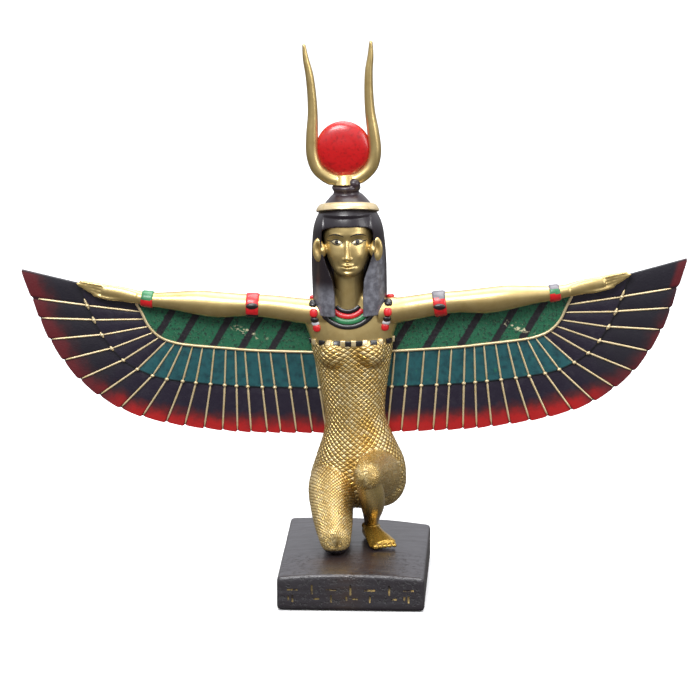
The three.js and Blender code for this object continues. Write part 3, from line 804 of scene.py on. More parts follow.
STANDING_FOOT = [
    (3.0, 7.4, 10.9, 1.8, 1.9),
    (3.6, 4.6, 11.6, 2.1, 2.5),
    (4.8, 1.2, 11.2, 2.6, 1.9),
    (6.2, -1.6, 10.5, 3.3, 1.3),
    (6.9, -3.0, 10.1, 3.5, 1.0),
]
GROUND_Z = 8.95


def model_dress():
    trunk = Clay("trunk_lump")
    trunk.strand(level_rings(TRUNK, 45), 36)
    for side in (-1, 1):
        trunk.ball((-0.4 + side * 4.4, 4.4, 57.0), (3.9, 3.2, 4.0))
    upper = trunk.done(lean_matrix())
    clay = Clay("leg_lumps")
    clay.strand(limb_rings(KNEELING_THIGH, end_dome=3.3))
    clay.strand(limb_rings(KNEELING_SHIN, end_dome=2.0))
    clay.strand(limb_rings(RAISED_THIGH, end_dome=2.9))
    clay.ball((5.9, 12.0, 23.2), (6.2, 6.8, 7.0))
    clay.ball((-5.6, 12.4, 22.6), (6.2, 6.6, 6.6))
    lower = clay.done()
    dress = join("dress", [upper, lower])
    fuse(dress, 0.245, 5)
    collar_cut = lean_matrix() @ Vector((0, 0, NECKLINE_Z))
    slice_off(dress, collar_cut, lean_matrix().to_3x3() @ Vector((0, 0, 1)))
    slice_off(dress, (0, 0, GROUND_Z), (0, 0, -1))
    return dress


def stations(rows, across, matrix=None, count=70):
    """Points along a limb's axis with their section directions, for wrapping a pattern."""
    table = [limb_station(rows, n / (count - 1), across) for n in range(count)]
    centre = np.array([row[0] for row in table])
    u, v, w = (np.array([row[k] for row in table]) for k in (1, 2, 3))
    half = np.array([[row[4], row[5]] for row in table])
    if matrix is not None:
        m = np.array(matrix)
        centre = centre @ m[:3, :3].T + m[:3, 3]
        u, v, w = (d @ m[:3, :3].T for d in (u, v, w))
    step = np.linalg.norm(np.diff(centre, axis=0), axis=1)
    arc = np.concatenate([[0], np.cumsum(step)])
    return centre, u, v, w, half, arc


def wrap_on(co, limb, dome):
    """Turn around the limb, distance along it, and height over its surface, for each point."""
    centre, u, v, w, half, arc = limb
    nearest = np.empty(len(co), int)
    for start in range(0, len(co), 20000):
        gap = co[start:start + 20000, None, :] - centre[None]
        nearest[start:start + 20000] = np.argmin((gap ** 2).sum(2), axis=1)
    away = co - centre[nearest]
    a = (away * u[nearest]).sum(1) / half[nearest, 0]
    b = (away * v[nearest]).sum(1) / half[nearest, 1]
    ahead = (away * w[nearest]).sum(1)
    past = np.where((nearest == 0) | (nearest == len(arc) - 1), np.abs(ahead) / dome, 0)
    radius = np.sqrt(a * a + b * b + past ** 2)
    mean = half[nearest].mean(1)
    return np.arctan2(a, b) / (2 * np.pi), arc[nearest] + ahead, (radius - 1) * mean


def scale_places(co):
    """Where each point lies in the rows of scales, on whichever limb it is part of."""
    setting = sizes()
    trunk_rows = [(x, y, z, a, b) for z, x, y, a, b in TRUNK]
    around = setting.scales_around
    layout = [
        (stations(trunk_rows, ACROSS_X, lean_matrix()), 2.0, around, setting.scale_height, 0.0),
        (stations(KNEELING_THIGH, ACROSS_X), 3.3, around, 1.05, 100.3),
        (stations(RAISED_THIGH, ACROSS_X), 2.9, around, 1.05, 200.6),
        (stations(KNEELING_SHIN, ACROSS_X), 2.0, around - 10, 1.0, 300.2),
    ]
    best = np.full(len(co), np.inf)
    place = np.zeros((len(co), 2))
    owner = np.zeros(len(co), int)
    turns = np.zeros(len(co))
    for number, (limb, dome, count, pitch, offset) in enumerate(layout):
        turn, along, height = wrap_on(co, limb, dome)
        closer = height < best
        best = np.where(closer, height, best)
        place[closer, 0] = turn[closer] * count
        place[closer, 1] = along[closer] / pitch + offset
        owner[closer] = number
        turns[closer] = count
    return place, owner, turns, [(row[0], row[1], row[2], row[3], row[4]) for row in layout]


def scale_height_at(place, seed=5):
    """Height of the scales, 0 in the grooves, with each scale tilted its own way."""
    p = place[:, 0] + place[:, 1]
    q = place[:, 1] - place[:, 0]
    fp, fq = p - np.floor(p), q - np.floor(q)
    rim = 2 * np.minimum(np.minimum(fp, 1 - fp), np.minimum(fq, 1 - fq))
    dome = np.sin(np.clip(rim * 1.5, 0, 1) * math.pi / 2)
    cell = np.floor(p) * 12.9898 + np.floor(q) * 78.233 + seed
    tilt_p = np.modf(np.abs(np.sin(cell) * 43758.5453))[0] - 0.5
    tilt_q = np.modf(np.abs(np.sin(cell * 1.7 + 2.0) * 24634.6345))[0] - 0.5
    return dome * (0.75 + (fp - 0.5) * tilt_p * 1.3 + (fq - 0.5) * tilt_q * 1.3)


def lay_scales(dress):
    """Raises the scales on the dress and stores their layout as the pattern map."""
    co = points_of(dress)
    place, owner, turns, layout = scale_places(co)
    limb_count = len(layout)
    mesh = dress.data
    corners = np.empty(len(mesh.loops), int)
    mesh.loops.foreach_get("vertex_index", corners)
    starts = np.empty(len(mesh.polygons), int)
    totals = np.empty(len(mesh.polygons), int)
    mesh.polygons.foreach_get("loop_start", starts)
    mesh.polygons.foreach_get("loop_total", totals)
    face_of = np.repeat(np.arange(len(starts)), totals)
    first = corners[starts][face_of]
    pattern = place[corners].copy()
    other = owner[corners] != owner[first]
    for number in range(limb_count):
        limb, dome, count, pitch, offset = layout[number]
        here = other & (owner[first] == number)
        if here.any():
            turn, along, _ = wrap_on(co[corners[here]], limb, dome)
            pattern[here, 0] = turn * count
            pattern[here, 1] = along / pitch + offset
    ring = turns[first]
    jump = pattern[:, 0] - pattern[starts][face_of][:, 0]
    pattern[:, 0] -= np.round(jump / ring) * ring
    layer = mesh.uv_layers.new(name="pattern")
    layer.data.foreach_set("uv", pattern.ravel())
    normal = normals_of(dress)
    relief = scale_height_at(place) * sizes().scale_relief
    on_top = np.clip((upright(co)[:, 2] - NECKLINE_Z + 0.4) / 0.3, 0, 1)
    floor = np.clip((co[:, 2] - GROUND_Z) / 0.8, 0, 1)
    set_points(dress, co + normal * (relief * (1 - on_top) * floor)[:, None])
    return dress


def dress_paint():
    tones = colours()
    paint = Paint("dress_gold")
    body = paint.body_place()
    across, along, _ = paint.split(paint.pattern_place())
    p = across + along
    q = along - across
    fp, fq = p.fraction(), q.fraction()
    rim = fp.least(1 - fp).least(fq.least(1 - fq)) * 2
    lot = paint.dice(paint.gather(p.floor(), q.floor()))
    groove = rim.rises(0.34, 0.06)
    x, y, z = paint.split(body)

    # Painted shade: soft amber-brown spots that darken the gold at the places given below, in the hollows
    # of the chest, belly and thighs and at one side.
    def shade_spot(cx, cz, wide, high):
        away = ((x - cx) / wide) ** 2 + ((z - cz) / high) ** 2
        return away.rises(1.0, 0.0)

    cloud = paint.grain(body, 0.22, 4.0).rises(0.42, 0.72)
    hollow_shade = shade_spot(1.9, 56.0, 3.0, 5.5).most(shade_spot(3.0, 36.4, 3.6, 6.5))
    hollow_shade = hollow_shade.most(shade_spot(-1.2, 26.0, 3.4, 9.0)).most(shade_spot(10.6, 37.0, 3.0, 6.0))
    # The random clouds are the paint's own uneven tone; the spots are painted shade.
    cloud_and_shade = (cloud * 0.35).most(hollow_shade * 0.75)
    skin = paint.mix(tones.gold, (0.52, 0.30, 0.055), cloud_and_shade)
    # Painted glints: random scales are painted a pale cream.
    with_painted_glints = paint.mix(skin, (0.78, 0.68, 0.42), (lot - 0.55).most(0.0) * 1.3)
    dark = paint.mix(tones.amber, (0.12, 0.075, 0.02), lot * 0.6)
    colour = paint.mix(with_painted_glints, dark, groove * 0.86)
    sole = z.rises(11.2, 10.7)
    colour = paint.mix(colour, tones.black, sole)
    bump = paint.relief(rim.rises(0.0, 0.5), 0.14, 0.7)
    rough = lot * 0.22 + 0.22 + groove * 0.25
    return paint.finish(
        base_color=colour, metallic=0.85 - sole * 0.85, roughness=rough,
        coat_weight=0.25, coat_roughness=0.2, normal=bump)


def toe_rings():
    """Five toes side by side on the standing foot, from the big toe outwards."""
    root = Vector((4.6, -2.4, 10.0))
    spread = Vector((4.8, 1.0, -0.1))
    forward = Vector((0.22, -0.97, -0.06))
    for k in range(5):
        w = k / 4
        r = 0.78 * (1.25 if k == 0 else 0.95 - 0.12 * w)
        start = root + spread * w
        tip = start + forward * 2.5 * (1 - 0.35 * w)
        middle = start.lerp(tip, 0.55) + Vector((0, 0, 0.12))
        yield limb_rings([
            (*(start - forward * 2.2 + Vector((0, 0, 0.5))), r * 0.55, r * 0.5),
            (*start, r * 0.95, r * 0.95),
            (*middle, r * 0.86, r * 0.92),
            (*tip, r * 0.92, r * 0.8),
        ], steps=12, end_dome=r * 0.8)


def model_legs():
    clay = Clay("bare_legs")
    clay.strand(limb_rings(RAISED_SHIN, start_dome=2.0))
    clay.strand(limb_rings(STANDING_FOOT, start_dome=1.2, end_dome=0.5))
    for side, z in ((-1, 12.7), (1, 12.4)):
        clay.ball((3.6 + side * 1.75, 5.2, z), (0.6, 0.8, 0.8))
    for rings in toe_rings():
        clay.strand(rings, 16)
    clay.strand(limb_rings(KNEELING_SHIN[2:], end_dome=2.0))
    clay.strand(limb_rings(TUCKED_FOOT, start_dome=1.3, end_dome=0.6))
    for k in range(5):
        x = -6.8 + 0.95 * k
        reach = 0.9 if k == 4 else 0.72
        clay.ball((x, 19.6, 9.9), (reach * 0.55, 1.5, 0.75))
    legs = clay.done()
    fuse(legs, 0.19, 3)
    slice_off(legs, (0, 0, GROUND_Z - 0.05), (0, 0, -1))
    return legs


def leg_paint():
    tones = colours()
    paint = Paint("leg_gold")
    place = paint.world_place()
    x, y, z = paint.split(place)
    # Painted shade: the bare legs are painted darker amber towards the feet.
    low_shade = (0.40, 0.235, 0.025)
    low = z.rises(26.0, 12.0)
    base = paint.mix(tones.gold, low_shade, low * 0.8 + 0.1)
    # Painted shade: dark brown on the inner side of the raised shin and on the kneeling leg's shin and foot
    # behind it.
    inner = (x - y * 0.06).rises(4.3, 1.9) * z.rises(11.5, 14.0)
    brown = paint.mix(base, (0.085, 0.032, 0.006), inner * 0.9)
    ground = (z + paint.grain(place, 0.8) * 0.8).rises(10.15, 9.75)
    colour = paint.mix(brown, tones.black, ground)
    return add_gold_finish(paint, colour, place, 0.28)


# Arms, hands and chest

def wing_depth(x):
    return WING_FRONT + WING_SWEEP * (x / WING_SPAN) ** 2


def resting(rows):
    """Rows of an arm, laid in front of the wing: x, height, half depth, half height."""
    room = 0.55
    return [(x, wing_depth(x) - room - a, z, a, b) for x, z, a, b in rows]


ARM = resting([
    (6.0, 66.6, 3.3, 3.3),
    (13.0, 67.3, 2.75, 3.1),
    (20.0, 68.3, 2.55, 2.9),
    (26.0, 68.8, 2.5, 2.75),
    (33.0, 69.0, 2.6, 3.2),
    (38.5, 69.6, 2.5, 3.05),
    (44.0, 70.0, 2.15, 2.35),
    (49.5, 70.3, 1.75, 1.8),
    (53.5, 70.9, 1.5, 1.6),
])
PALM = resting([
    (52.5, 70.7, 1.45, 1.6),
    (56.5, 71.5, 1.2, 1.85),
    (60.0, 72.2, 1.05, 1.75),
    (62.0, 72.6, 0.9, 1.45),
])
THUMB = resting([
    (56.8, 70.5, 1.1, 0.7),
    (60.6, 70.7, 1.0, 0.6),
    (64.4, 71.4, 0.6, 0.4),
])


def finger_rings():
    for k in range(4):
        rise = 0.85 * (1.5 - k)
        reach = 68.6 - 0.9 * abs(k - 1.2)
        yield limb_rings(resting([
            (59.5, 71.9 + rise * 0.9, 0.66, 0.5),
            (61.5, 72.35 + rise, 0.72, 0.5),
            (64.8, 73.2 + rise * 0.85, 0.6, 0.45),
            (reach, 74.0 + rise * 0.6, 0.5, 0.36),
        ]), ACROSS_Y, 14, end_dome=0.45)


def model_skin():
    clay = Clay("skin")
    rows = [row for row in TRUNK if row[0] > 54]
    clay.strand(level_rings(rows, 24, extra=-0.06), 36)
    for side in (-1, 1):
        clay.ball((-0.4 + side * 4.4, 4.55, 57.0), (3.7, 3.0, 3.8))
    neck = [
        (63.0, -0.9, 7.4, 4.6, 3.9),
        (69.0, -0.9, 6.9, 4.1, 3.9),
        (74.0, -0.75, 6.5, 3.7, 3.7),
        (77.0, -0.7, 6.6, 3.7, 3.7),
    ]
    clay.strand(level_rings(neck, 12))
    for side in (-1, 1):
        flip = mirrored_rings if side < 0 else list
        clay.strand(flip(limb_rings(ARM, ACROSS_Y, 40)))
        clay.strand(flip(limb_rings(PALM, ACROSS_Y, 14, 0.5, 0.5)), 24)
        clay.strand(flip(limb_rings(THUMB, ACROSS_Y, 14, 0.4, 0.4)), 14)
        for rings in finger_rings():
            clay.strand(flip(rings), 12)
        clay.ball((side * 9.6, 7.0, 66.9), (3.6, 3.3, 3.5))
        clay.ball((side * 0.9 - 0.7, 3.6, 69.3), (0.9, 0.5, 0.5))
    skin = clay.done(lean_matrix())
    fuse(skin, 0.21, 6)
    cut = lean_matrix() @ Vector((0, 0, 57.2))
    slice_off(skin, cut, lean_matrix().to_3x3() @ Vector((0, 0, -1)))
    return skin


# Head

def soft_bump(co, x, z, wide, high, front=-9.0, back=4.0):
    """How near each point is to a place on the face, from 0 to 1."""
    facing = np.clip((back - co[:, 1]) / 2.0, 0, 1)
    return np.exp(-((co[:, 0] - x) / wide) ** 2 - ((co[:, 2] - z) / high) ** 2) * facing


def model_head():
    clay = Clay("head")
    x = HEAD_X
    clay.strand(level_rings([
        (CHIN_Z + 0.1, x, 2.6, 1.7, 1.7),
        (CHIN_Z + 1.3, x, 3.5, 3.3, 3.9),
        (CHIN_Z + 3.4, x, 4.7, 4.7, 5.3),
        (CHIN_Z + 6.0, x, 5.5, 5.7, 6.2),
        (EYE_Z, x, 6.1, 6.2, 6.6),
        (EYE_Z + 3.0, x, 6.4, 6.3, 7.0),
        (EYE_Z + 6.2, x, 6.7, 5.5, 6.2),
        (SKULL_TOP_Z, x, 7.0, 2.0, 2.4),
    ], 48), 64)
    nose = [
        (x, FACE_FRONT + 0.9, EYE_Z + 1.1, 0.5, 0.5),
        (x, FACE_FRONT + 0.35, EYE_Z - 0.6, 0.52, 0.7),
        (x, FACE_FRONT - 0.2, NOSE_Z + 1.5, 0.62, 0.8),
        (x, FACE_FRONT - 0.62, NOSE_Z + 0.55, 0.78, 0.78),
    ]
    clay.strand(limb_rings(nose, steps=16, start_dome=0.6, end_dome=0.5))
    for side in (-1, 1):
        clay.ball((x + side * 0.78, FACE_FRONT + 0.25, NOSE_Z + 0.42), (0.5, 0.62, 0.45))
        clay.ball((x + side * 7.2, 2.3, EYE_Z - 2.2), (1.45, 0.95, 2.95))
        clay.ball((x + side * 6.4, 2.6, EYE_Z - 2.4), (1.2, 1.2, 1.9))
    clay.strand(level_rings([
        (68.0, -0.9, 6.9, 4.1, 3.9),
        (74.0, -0.75, 6.5, 3.72, 3.72),
        (80.0, -0.65, 6.6, 3.9, 3.9),
    ], 12))
    head = clay.done()
    fuse(head, 0.15, 5)
    return head


def sculpt_face(head):
    """Sets the eyes, lips, cheeks and ears of a plain classical face into the head."""
    co = points_of(head)
    x = HEAD_X
    push = np.zeros(len(co))
    for side in (-1, 1):
        eye = x + side * EYE_APART
        push -= 0.75 * soft_bump(co, eye, EYE_Z + 0.25, 1.55, 0.95)
        push += 0.62 * soft_bump(co, eye, EYE_Z - 0.02, 1.05, 0.5)
        push -= 0.30 * soft_bump(co, eye - side * 1.35, EYE_Z, 0.5, 0.6)
        push += 0.22 * soft_bump(co, eye, EYE_Z + 1.85, 1.6, 0.45)
        push += 0.28 * soft_bump(co, x + side * 3.4, NOSE_Z + 0.9, 1.5, 1.5)
        push -= 0.20 * soft_bump(co, x + side * 2.1, MOUTH_Z + 0.2, 0.45, 0.6)
        push += 0.30 * soft_bump(co, x + side * 0.55, MOUTH_Z + 0.42, 0.75, 0.26)
        push += 0.16 * soft_bump(co, x + side * 3.2, CHIN_Z + 2.0, 1.2, 1.2)
    push += 0.46 * soft_bump(co, x, MOUTH_Z - 0.42, 1.0, 0.34)
    push += 0.20 * soft_bump(co, x, MOUTH_Z, 1.7, 0.9)
    push -= 0.42 * soft_bump(co, x, MOUTH_Z + 0.03, 1.35, 0.12)
    push -= 0.16 * soft_bump(co, x, MOUTH_Z + 1.0, 0.28, 0.45)
    push -= 0.26 * soft_bump(co, x, MOUTH_Z - 1.15, 1.1, 0.34)
    push += 0.42 * soft_bump(co, x, CHIN_Z + 0.95, 1.1, 0.75)
    co[:, 1] -= push
    dish = np.zeros(len(co))
    for side in (-1, 1):
        ear = x + side * 7.35
        dish += 0.75 * soft_bump(co, ear, EYE_Z - 1.9, 0.62, 1.7)
        dish -= 0.25 * soft_bump(co, x + side * 6.35, EYE_Z - 2.3, 0.35, 0.5)
    co[:, 1] += dish
    set_points(head, co)
    head.data.transform(lean_matrix())
    return head


def face_paint():
    """Gold skin with painted brows and dark-rimmed eyes, with painted shade under the jaw and where the
    ears meet the cheeks.
    """
    tones = colours()
    paint = Paint("face_gold")
    place = paint.body_place()
    x, y, z = paint.split(place)
    out = abs(x - HEAD_X) - EYE_APART
    up = z - EYE_Z
    front = y.rises(5.0, 3.0)

    def almond(wide, high, soft=0.07):
        edge = (1 - (out / wide) ** 2) * high - abs(up + out * -0.06)
        return edge.rises(-soft, soft)

    white = almond(1.28, 0.50)
    rim = almond(1.62, 0.78)
    iris = ((out * out) + (up - 0.04) ** 2).rises(0.30, 0.20)
    tail = (0.15 - abs(up - 0.12 - out * 0.02)).rises(-0.05, 0.05)
    tail = tail * out.rises(1.1, 1.3) * out.rises(2.5, 2.3)
    arch = up - 2.0 + (out - 0.1) ** 2 * 0.17
    thick = 0.21 - abs(out - 0.1) * 0.05
    brow = (thick - abs(arch)).rises(-0.05, 0.05) * out.rises(-1.9, -1.6) * out.rises(2.2, 1.9)
    skin = gold_skin(paint, place)
    under = (0.20, 0.10, 0.015)
    shade = paint.mix(skin, under, z.rises(77.2, 75.0) * (abs(x - HEAD_X)).rises(1.6, 3.6) * 0.9)
    # Painted shade: amber where each ear meets the cheek.
    hollow_shade = (abs(x - HEAD_X) - 7.2).maths("ABSOLUTE").rises(0.8, 0.2)
    hollow_shade = hollow_shade * abs(z - EYE_Z + 1.9).rises(1.9, 0.9) * y.rises(2.6, 1.6)
    shade = paint.mix(shade, tones.amber, hollow_shade * 0.55)
    ink = (0.008, 0.007, 0.009)
    colour = paint.mix(shade, ink, rim.most(tail).most(brow) * front)
    colour = paint.mix(colour, (0.70, 0.60, 0.36), white * front)
    inked = (rim - white + iris).least(1.0).most(0.0).most(tail).most(brow) * front
    colour = paint.mix(colour, ink, iris * white * front)
    speck = paint.grain(place, 3.0, 4.0)
    fine = paint.relief(paint.grain(place, 2.2, 5.0, 0.6), 0.02, 0.4)
    return paint.finish(
        base_color=colour, metallic=0.82 - inked * 0.8, roughness=speck * 0.14 + 0.28,
        coat_weight=0.35, coat_roughness=0.2, normal=fine)


# Wig, headband and top ring

WIG = [
    (66.6, HEAD_X, 7.2, 8.8, 6.2),
    (70.3, HEAD_X, 7.2, 9.15, 6.6),
    (75.0, HEAD_X, 7.2, 9.25, 7.2),
    (80.0, HEAD_X, 7.2, 9.25, 7.8),
    (84.5, HEAD_X, 7.2, 9.0, 8.2),
    (88.4, HEAD_X, 7.0, 8.5, 8.4),
    (91.3, HEAD_X, 7.0, 7.4, 7.8),
    (93.8, HEAD_X, 7.1, 5.8, 6.4),
    (95.7, HEAD_X, 7.2, 4.2, 4.6),
    (96.5, HEAD_X, 7.2, 3.3, 3.4),
]

# Half width and height along one side of the opening for the face and throat.
OPENING = [
    (3.3, 60.0), (3.5, 72.0), (3.9, 76.0), (5.2, 79.5), (6.2, 82.5), (6.4, 86.0), (6.2, 88.2),
    (4.8, 88.95), (2.4, 89.3),
]
HEADBAND_TILT = math.radians(15)


def outline_tool(name, outline, front, back):
    """A flat outline in x and z, filled and extruded from front to back."""
    deselect()
    bpy.ops.mesh.primitive_circle_add(
        vertices=len(outline), radius=1, fill_type="NGON", location=(0, 0, 0),
        rotation=(math.pi / 2, 0, 0))
    tool = bpy.context.object
    tool.name = name
    tool.data.transform(tool.matrix_world)
    tool.matrix_world = Matrix.Identity(4)
    for vertex, (x, z) in zip(tool.data.vertices, outline):
        vertex.co = (x, front, z)
    bpy.ops.object.mode_set(mode="EDIT")
    bpy.ops.mesh.select_all(action="SELECT")
    bpy.ops.mesh.extrude_region_move(
        TRANSFORM_OT_translate={"value": (0, back - front, 0)})
    bpy.ops.mesh.select_all(action="SELECT")
    bpy.ops.mesh.normals_make_consistent(inside=False)
    bpy.ops.object.mode_set(mode="OBJECT")
    return tool


def tilted_band(name, rows, middle, tilt, sides=72):
    """A closed band around the head. Each row is height, half width and half depth."""
    clay = Clay(name)
    rings = [(Vector((0, 0, z)), ACROSS_X, ACROSS_Y, a, b) for z, a, b in rows]
    clay.strand(rings, sides)
    turn = Matrix.Rotation(-tilt, 4, "X")
    return clay.done(lean_matrix() @ Matrix.Translation(middle) @ turn)


def model_wig():
    clay = Clay("wig")
    clay.strand(level_rings(WIG, 48), 64)
    wig = clay.done()
    right = [(HEAD_X + w, z) for w, z in OPENING]
    left = [(HEAD_X - w, z) for w, z in reversed(OPENING)]
    combine(wig, outline_tool("opening_tool", right + left, -20, 6.5), "DIFFERENCE")
    fuse(wig, 0.2, 3)
    co = points_of(wig)
    x, y, z = (co - np.array([HEAD_X, 0, 0])).T
    front = np.clip((6.0 - y) / 3.0, 0, 1)
    side = np.clip((np.abs(x) - 5.6) / 0.5, 0, 1)
    high = np.clip((z - 86.5) / 1.5, 0, 1) * np.clip((92.2 - z) / 0.8, 0, 1)
    co[:, 1] += 0.55 * front * (1 - side) * high
    lappet = np.clip((77.0 - z) / 6.0, 0, 1) * front * np.clip((np.abs(x) - 3.0) / 0.6, 0, 1)
    co[:, 1] -= lappet * (77.0 - z).clip(0, 8) * 0.06
    set_points(wig, co)
    wig.data.transform(lean_matrix())
    return wig


def wig_paint():
    tones = colours()
    paint = Paint("wig_black")
    place = paint.body_place()
    x, y, z = paint.split(place)
    out = abs(x - HEAD_X)
    mottled = paint.grain(place, 0.7, 4.0, 0.6)
    # Painted reflection: the lower fronts of the lappets are painted a mottled silver-grey, for the sheen
    # on the glossy black.
    sheen_level = (z + (x - HEAD_X).most(0.0) * -1.1) + mottled * 1.4
    silver = sheen_level.rises(76.5, 72.0) * y.rises(6.0, 3.5) * out.rises(3.0, 3.9)
    grey = paint.mix((0.11, 0.11, 0.13), (0.24, 0.245, 0.28), mottled.rises(0.35, 0.7))
    # Painted sheen: the top of the wig is painted a little lighter and purplish.
    base = paint.mix(tones.black, (0.026, 0.014, 0.018), z.rises(93.0, 96.0))
    colour = paint.mix(base, grey, silver * 0.85)
    fine = paint.relief(paint.grain(paint.gather(x * 1.4, y, z * 0.5), 1.6, 4.0), 0.06, 0.5)
    return paint.finish(
        base_color=colour, roughness=paint.grain(place, 0.8) * 0.16 + 0.24,
        coat_weight=0.3, coat_roughness=0.2, normal=fine)


def model_headband():
    profile = [
        (-0.95, 7.35, 7.55), (-0.8, 7.75, 7.95), (-0.3, 7.72, 7.92), (0.2, 7.45, 7.65),
        (0.7, 7.1, 7.3), (0.95, 6.7, 6.9),
    ]
    return tilted_band("headband", profile, (HEAD_X, 7.3, 92.8), HEADBAND_TILT)


def model_top_ring():
    clay = Clay("top_ring")
    clay.strand(level_rings([
        (95.4, HEAD_X - 0.2, 7.2, 3.9, 3.9),
        (96.4, HEAD_X - 0.2, 7.2, 3.3, 3.3),
        (97.1, HEAD_X - 0.2, 7.2, 3.1, 3.1),
        (97.5, HEAD_X - 0.2, 7.2, 3.4, 3.4),
        (98.0, HEAD_X - 0.2, 7.2, 3.55, 3.55),
        (98.5, HEAD_X - 0.2, 7.2, 3.3, 3.3),
        (98.7, HEAD_X - 0.2, 7.2, 2.6, 2.6),
    ], 30), 40)
    clay.ball((CROWN_FOOT[0] + 2.2, 5.6, 99.0), (1.5, 1.3, 1.5))
    ring = clay.done(lean_matrix())
    fuse(ring, 0.16, 3)
    return ring


# Crown

# Distance from the crown's middle, height over the foot, half thickness.
HORN = [
    (0.4, 0.6, 2.0),
    (2.9, 1.2, 1.9),
    (5.2, 2.6, 1.85),
    (6.9, 4.6, 1.8),
    (7.7, 8.0, 1.75),
    (7.5, 12.6, 1.65),
    (7.05, 17.5, 1.4),
    (7.0, 22.5, 1.25),
    (7.3, 27.5, 1.1),
    (7.9, 31.2, 0.85),
    (8.2, 34.6, 0.5),
]


def model_horns():
    clay = Clay("horns")
    rows = [(out, 0.0, up, half, half * 0.9) for out, up, half in HORN]
    rings = limb_rings(rows, ACROSS_Y, 70, end_dome=0.5)
    clay.strand(rings, 28)
    clay.strand(mirrored_rings(rings), 28)
    foot = [(0.0, 0, 0, 3.1, 3.0), (0.8, 0, 0, 2.8, 2.6), (2.4, 0, 0, 2.5, 1.9)]
    clay.strand(level_rings(foot, 10))
    horns = clay.done()
    fuse(horns, 0.17, 4)
    slice_off(horns, (0, 0, 0.02), (0, 0, -1))
    horns.data.transform(crown_matrix())
    return horns


def model_disc():
    clay = Clay("sun_disc")
    clay.ball((0, 0, 8.8), (6.75, 2.1, 6.75), 96, 48)
    disc = clay.done()
    co = points_of(disc)
    low = np.clip((4.4 - co[:, 2]) / 2.2, 0, 1)
    co[:, 0] *= 1 - 0.25 * low
    co[:, 2] -= 0.5 * low ** 2
    out = np.hypot(co[:, 0], co[:, 2] - 8.8)
    co[:, 1] *= 1 + 0.12 * np.clip((out - 3.0) / 3.0, 0, 1)
    set_points(disc, co)
    disc.data.transform(crown_matrix())
    return disc


# Wings

# Guide curves over the feathers: feather number, distance out, height.
OUTER_EDGE = [
    (0, 82.6, 77.4), (1, 80.0, 70.3), (3, 75.9, 59.8), (5, 68.8, 49.6), (7, 58.9, 42.3),
    (9, 47.6, 38.6), (12, 33.6, 36.5), (15, 22.4, 35.8), (20, 5.2, 35.5),
]
CROSS_LINE = [
    (0, 68.6, 73.9), (1, 66.4, 68.4), (3, 63.0, 60.9), (5, 57.9, 54.4), (7, 50.7, 50.4),
    (9, 43.2, 48.9), (12, 32.7, 47.8), (15, 23.3, 47.2), (20, 6.6, 46.8),
]
COVERT_EDGE = [
    (0, 54.5, 69.6), (1, 52.9, 66.7), (3, 51.1, 63.0), (5, 48.4, 60.3), (7, 44.7, 58.8),
    (9, 40.3, 58.1), (12, 32.1, 57.3), (15, 24.1, 56.6), (20, 7.6, 55.9),
]
UPPER_EDGE = [
    (0, 56.0, 71.6), (1, 54.0, 71.3), (3, 51.0, 70.9), (5, 47.5, 70.5), (7, 43.5, 70.2),
    (9, 39.0, 69.8), (12, 31.5, 69.0), (15, 23.5, 68.2), (20, 6.0, 64.8),
]
TIERS = [
    (UPPER_EDGE, COVERT_EDGE, COVERT_THICKNESS, 16),
    (COVERT_EDGE, CROSS_LINE, INNER_THICKNESS, 14),
    (CROSS_LINE, OUTER_EDGE, OUTER_THICKNESS, 16),
]
SCALLOP = 0.5
COLUMNS_PER_FEATHER = 14


def guide(curve, feather):
    """The point of a guide curve at a feather number that need not be whole."""
    i = 0
    while i < len(curve) - 2 and curve[i + 1][0] <= feather:
        i += 1
    w = (feather - curve[i][0]) / (curve[i + 1][0] - curve[i][0])
    _, x, z = smooth_row(curve, (i + w) / (len(curve) - 1))
    return x, z


def feather_point(tier, feather, t):
    start, end, _, _ = TIERS[tier]
    x1, z1 = guide(start, feather)
    x2, z2 = guide(end, feather)
    reach = t
    if tier == 2:
        part = feather - math.floor(feather)
        notch = (1 - math.exp(-(part / 0.07) ** 2)) * (1 - math.exp(-((1 - part) / 0.05) ** 2))
        bulge = SCALLOP * (0.5 + 0.5 * part) * notch
        reach += bulge / math.hypot(x2 - x1, z2 - z1) * t ** 3
    return x1 + (x2 - x1) * reach, z1 + (z2 - z1) * reach


def feather_relief(tier, feather, t):
    """Height of the painted surface over the tier's plain level."""
    part = feather - math.floor(feather)
    if tier == 0:
        return 0.0
    crown = 0.10 * math.sin(math.pi * part)
    lap = 0.20 * (part - 0.5)
    return (crown + lap) * min(1.0, t * 8)


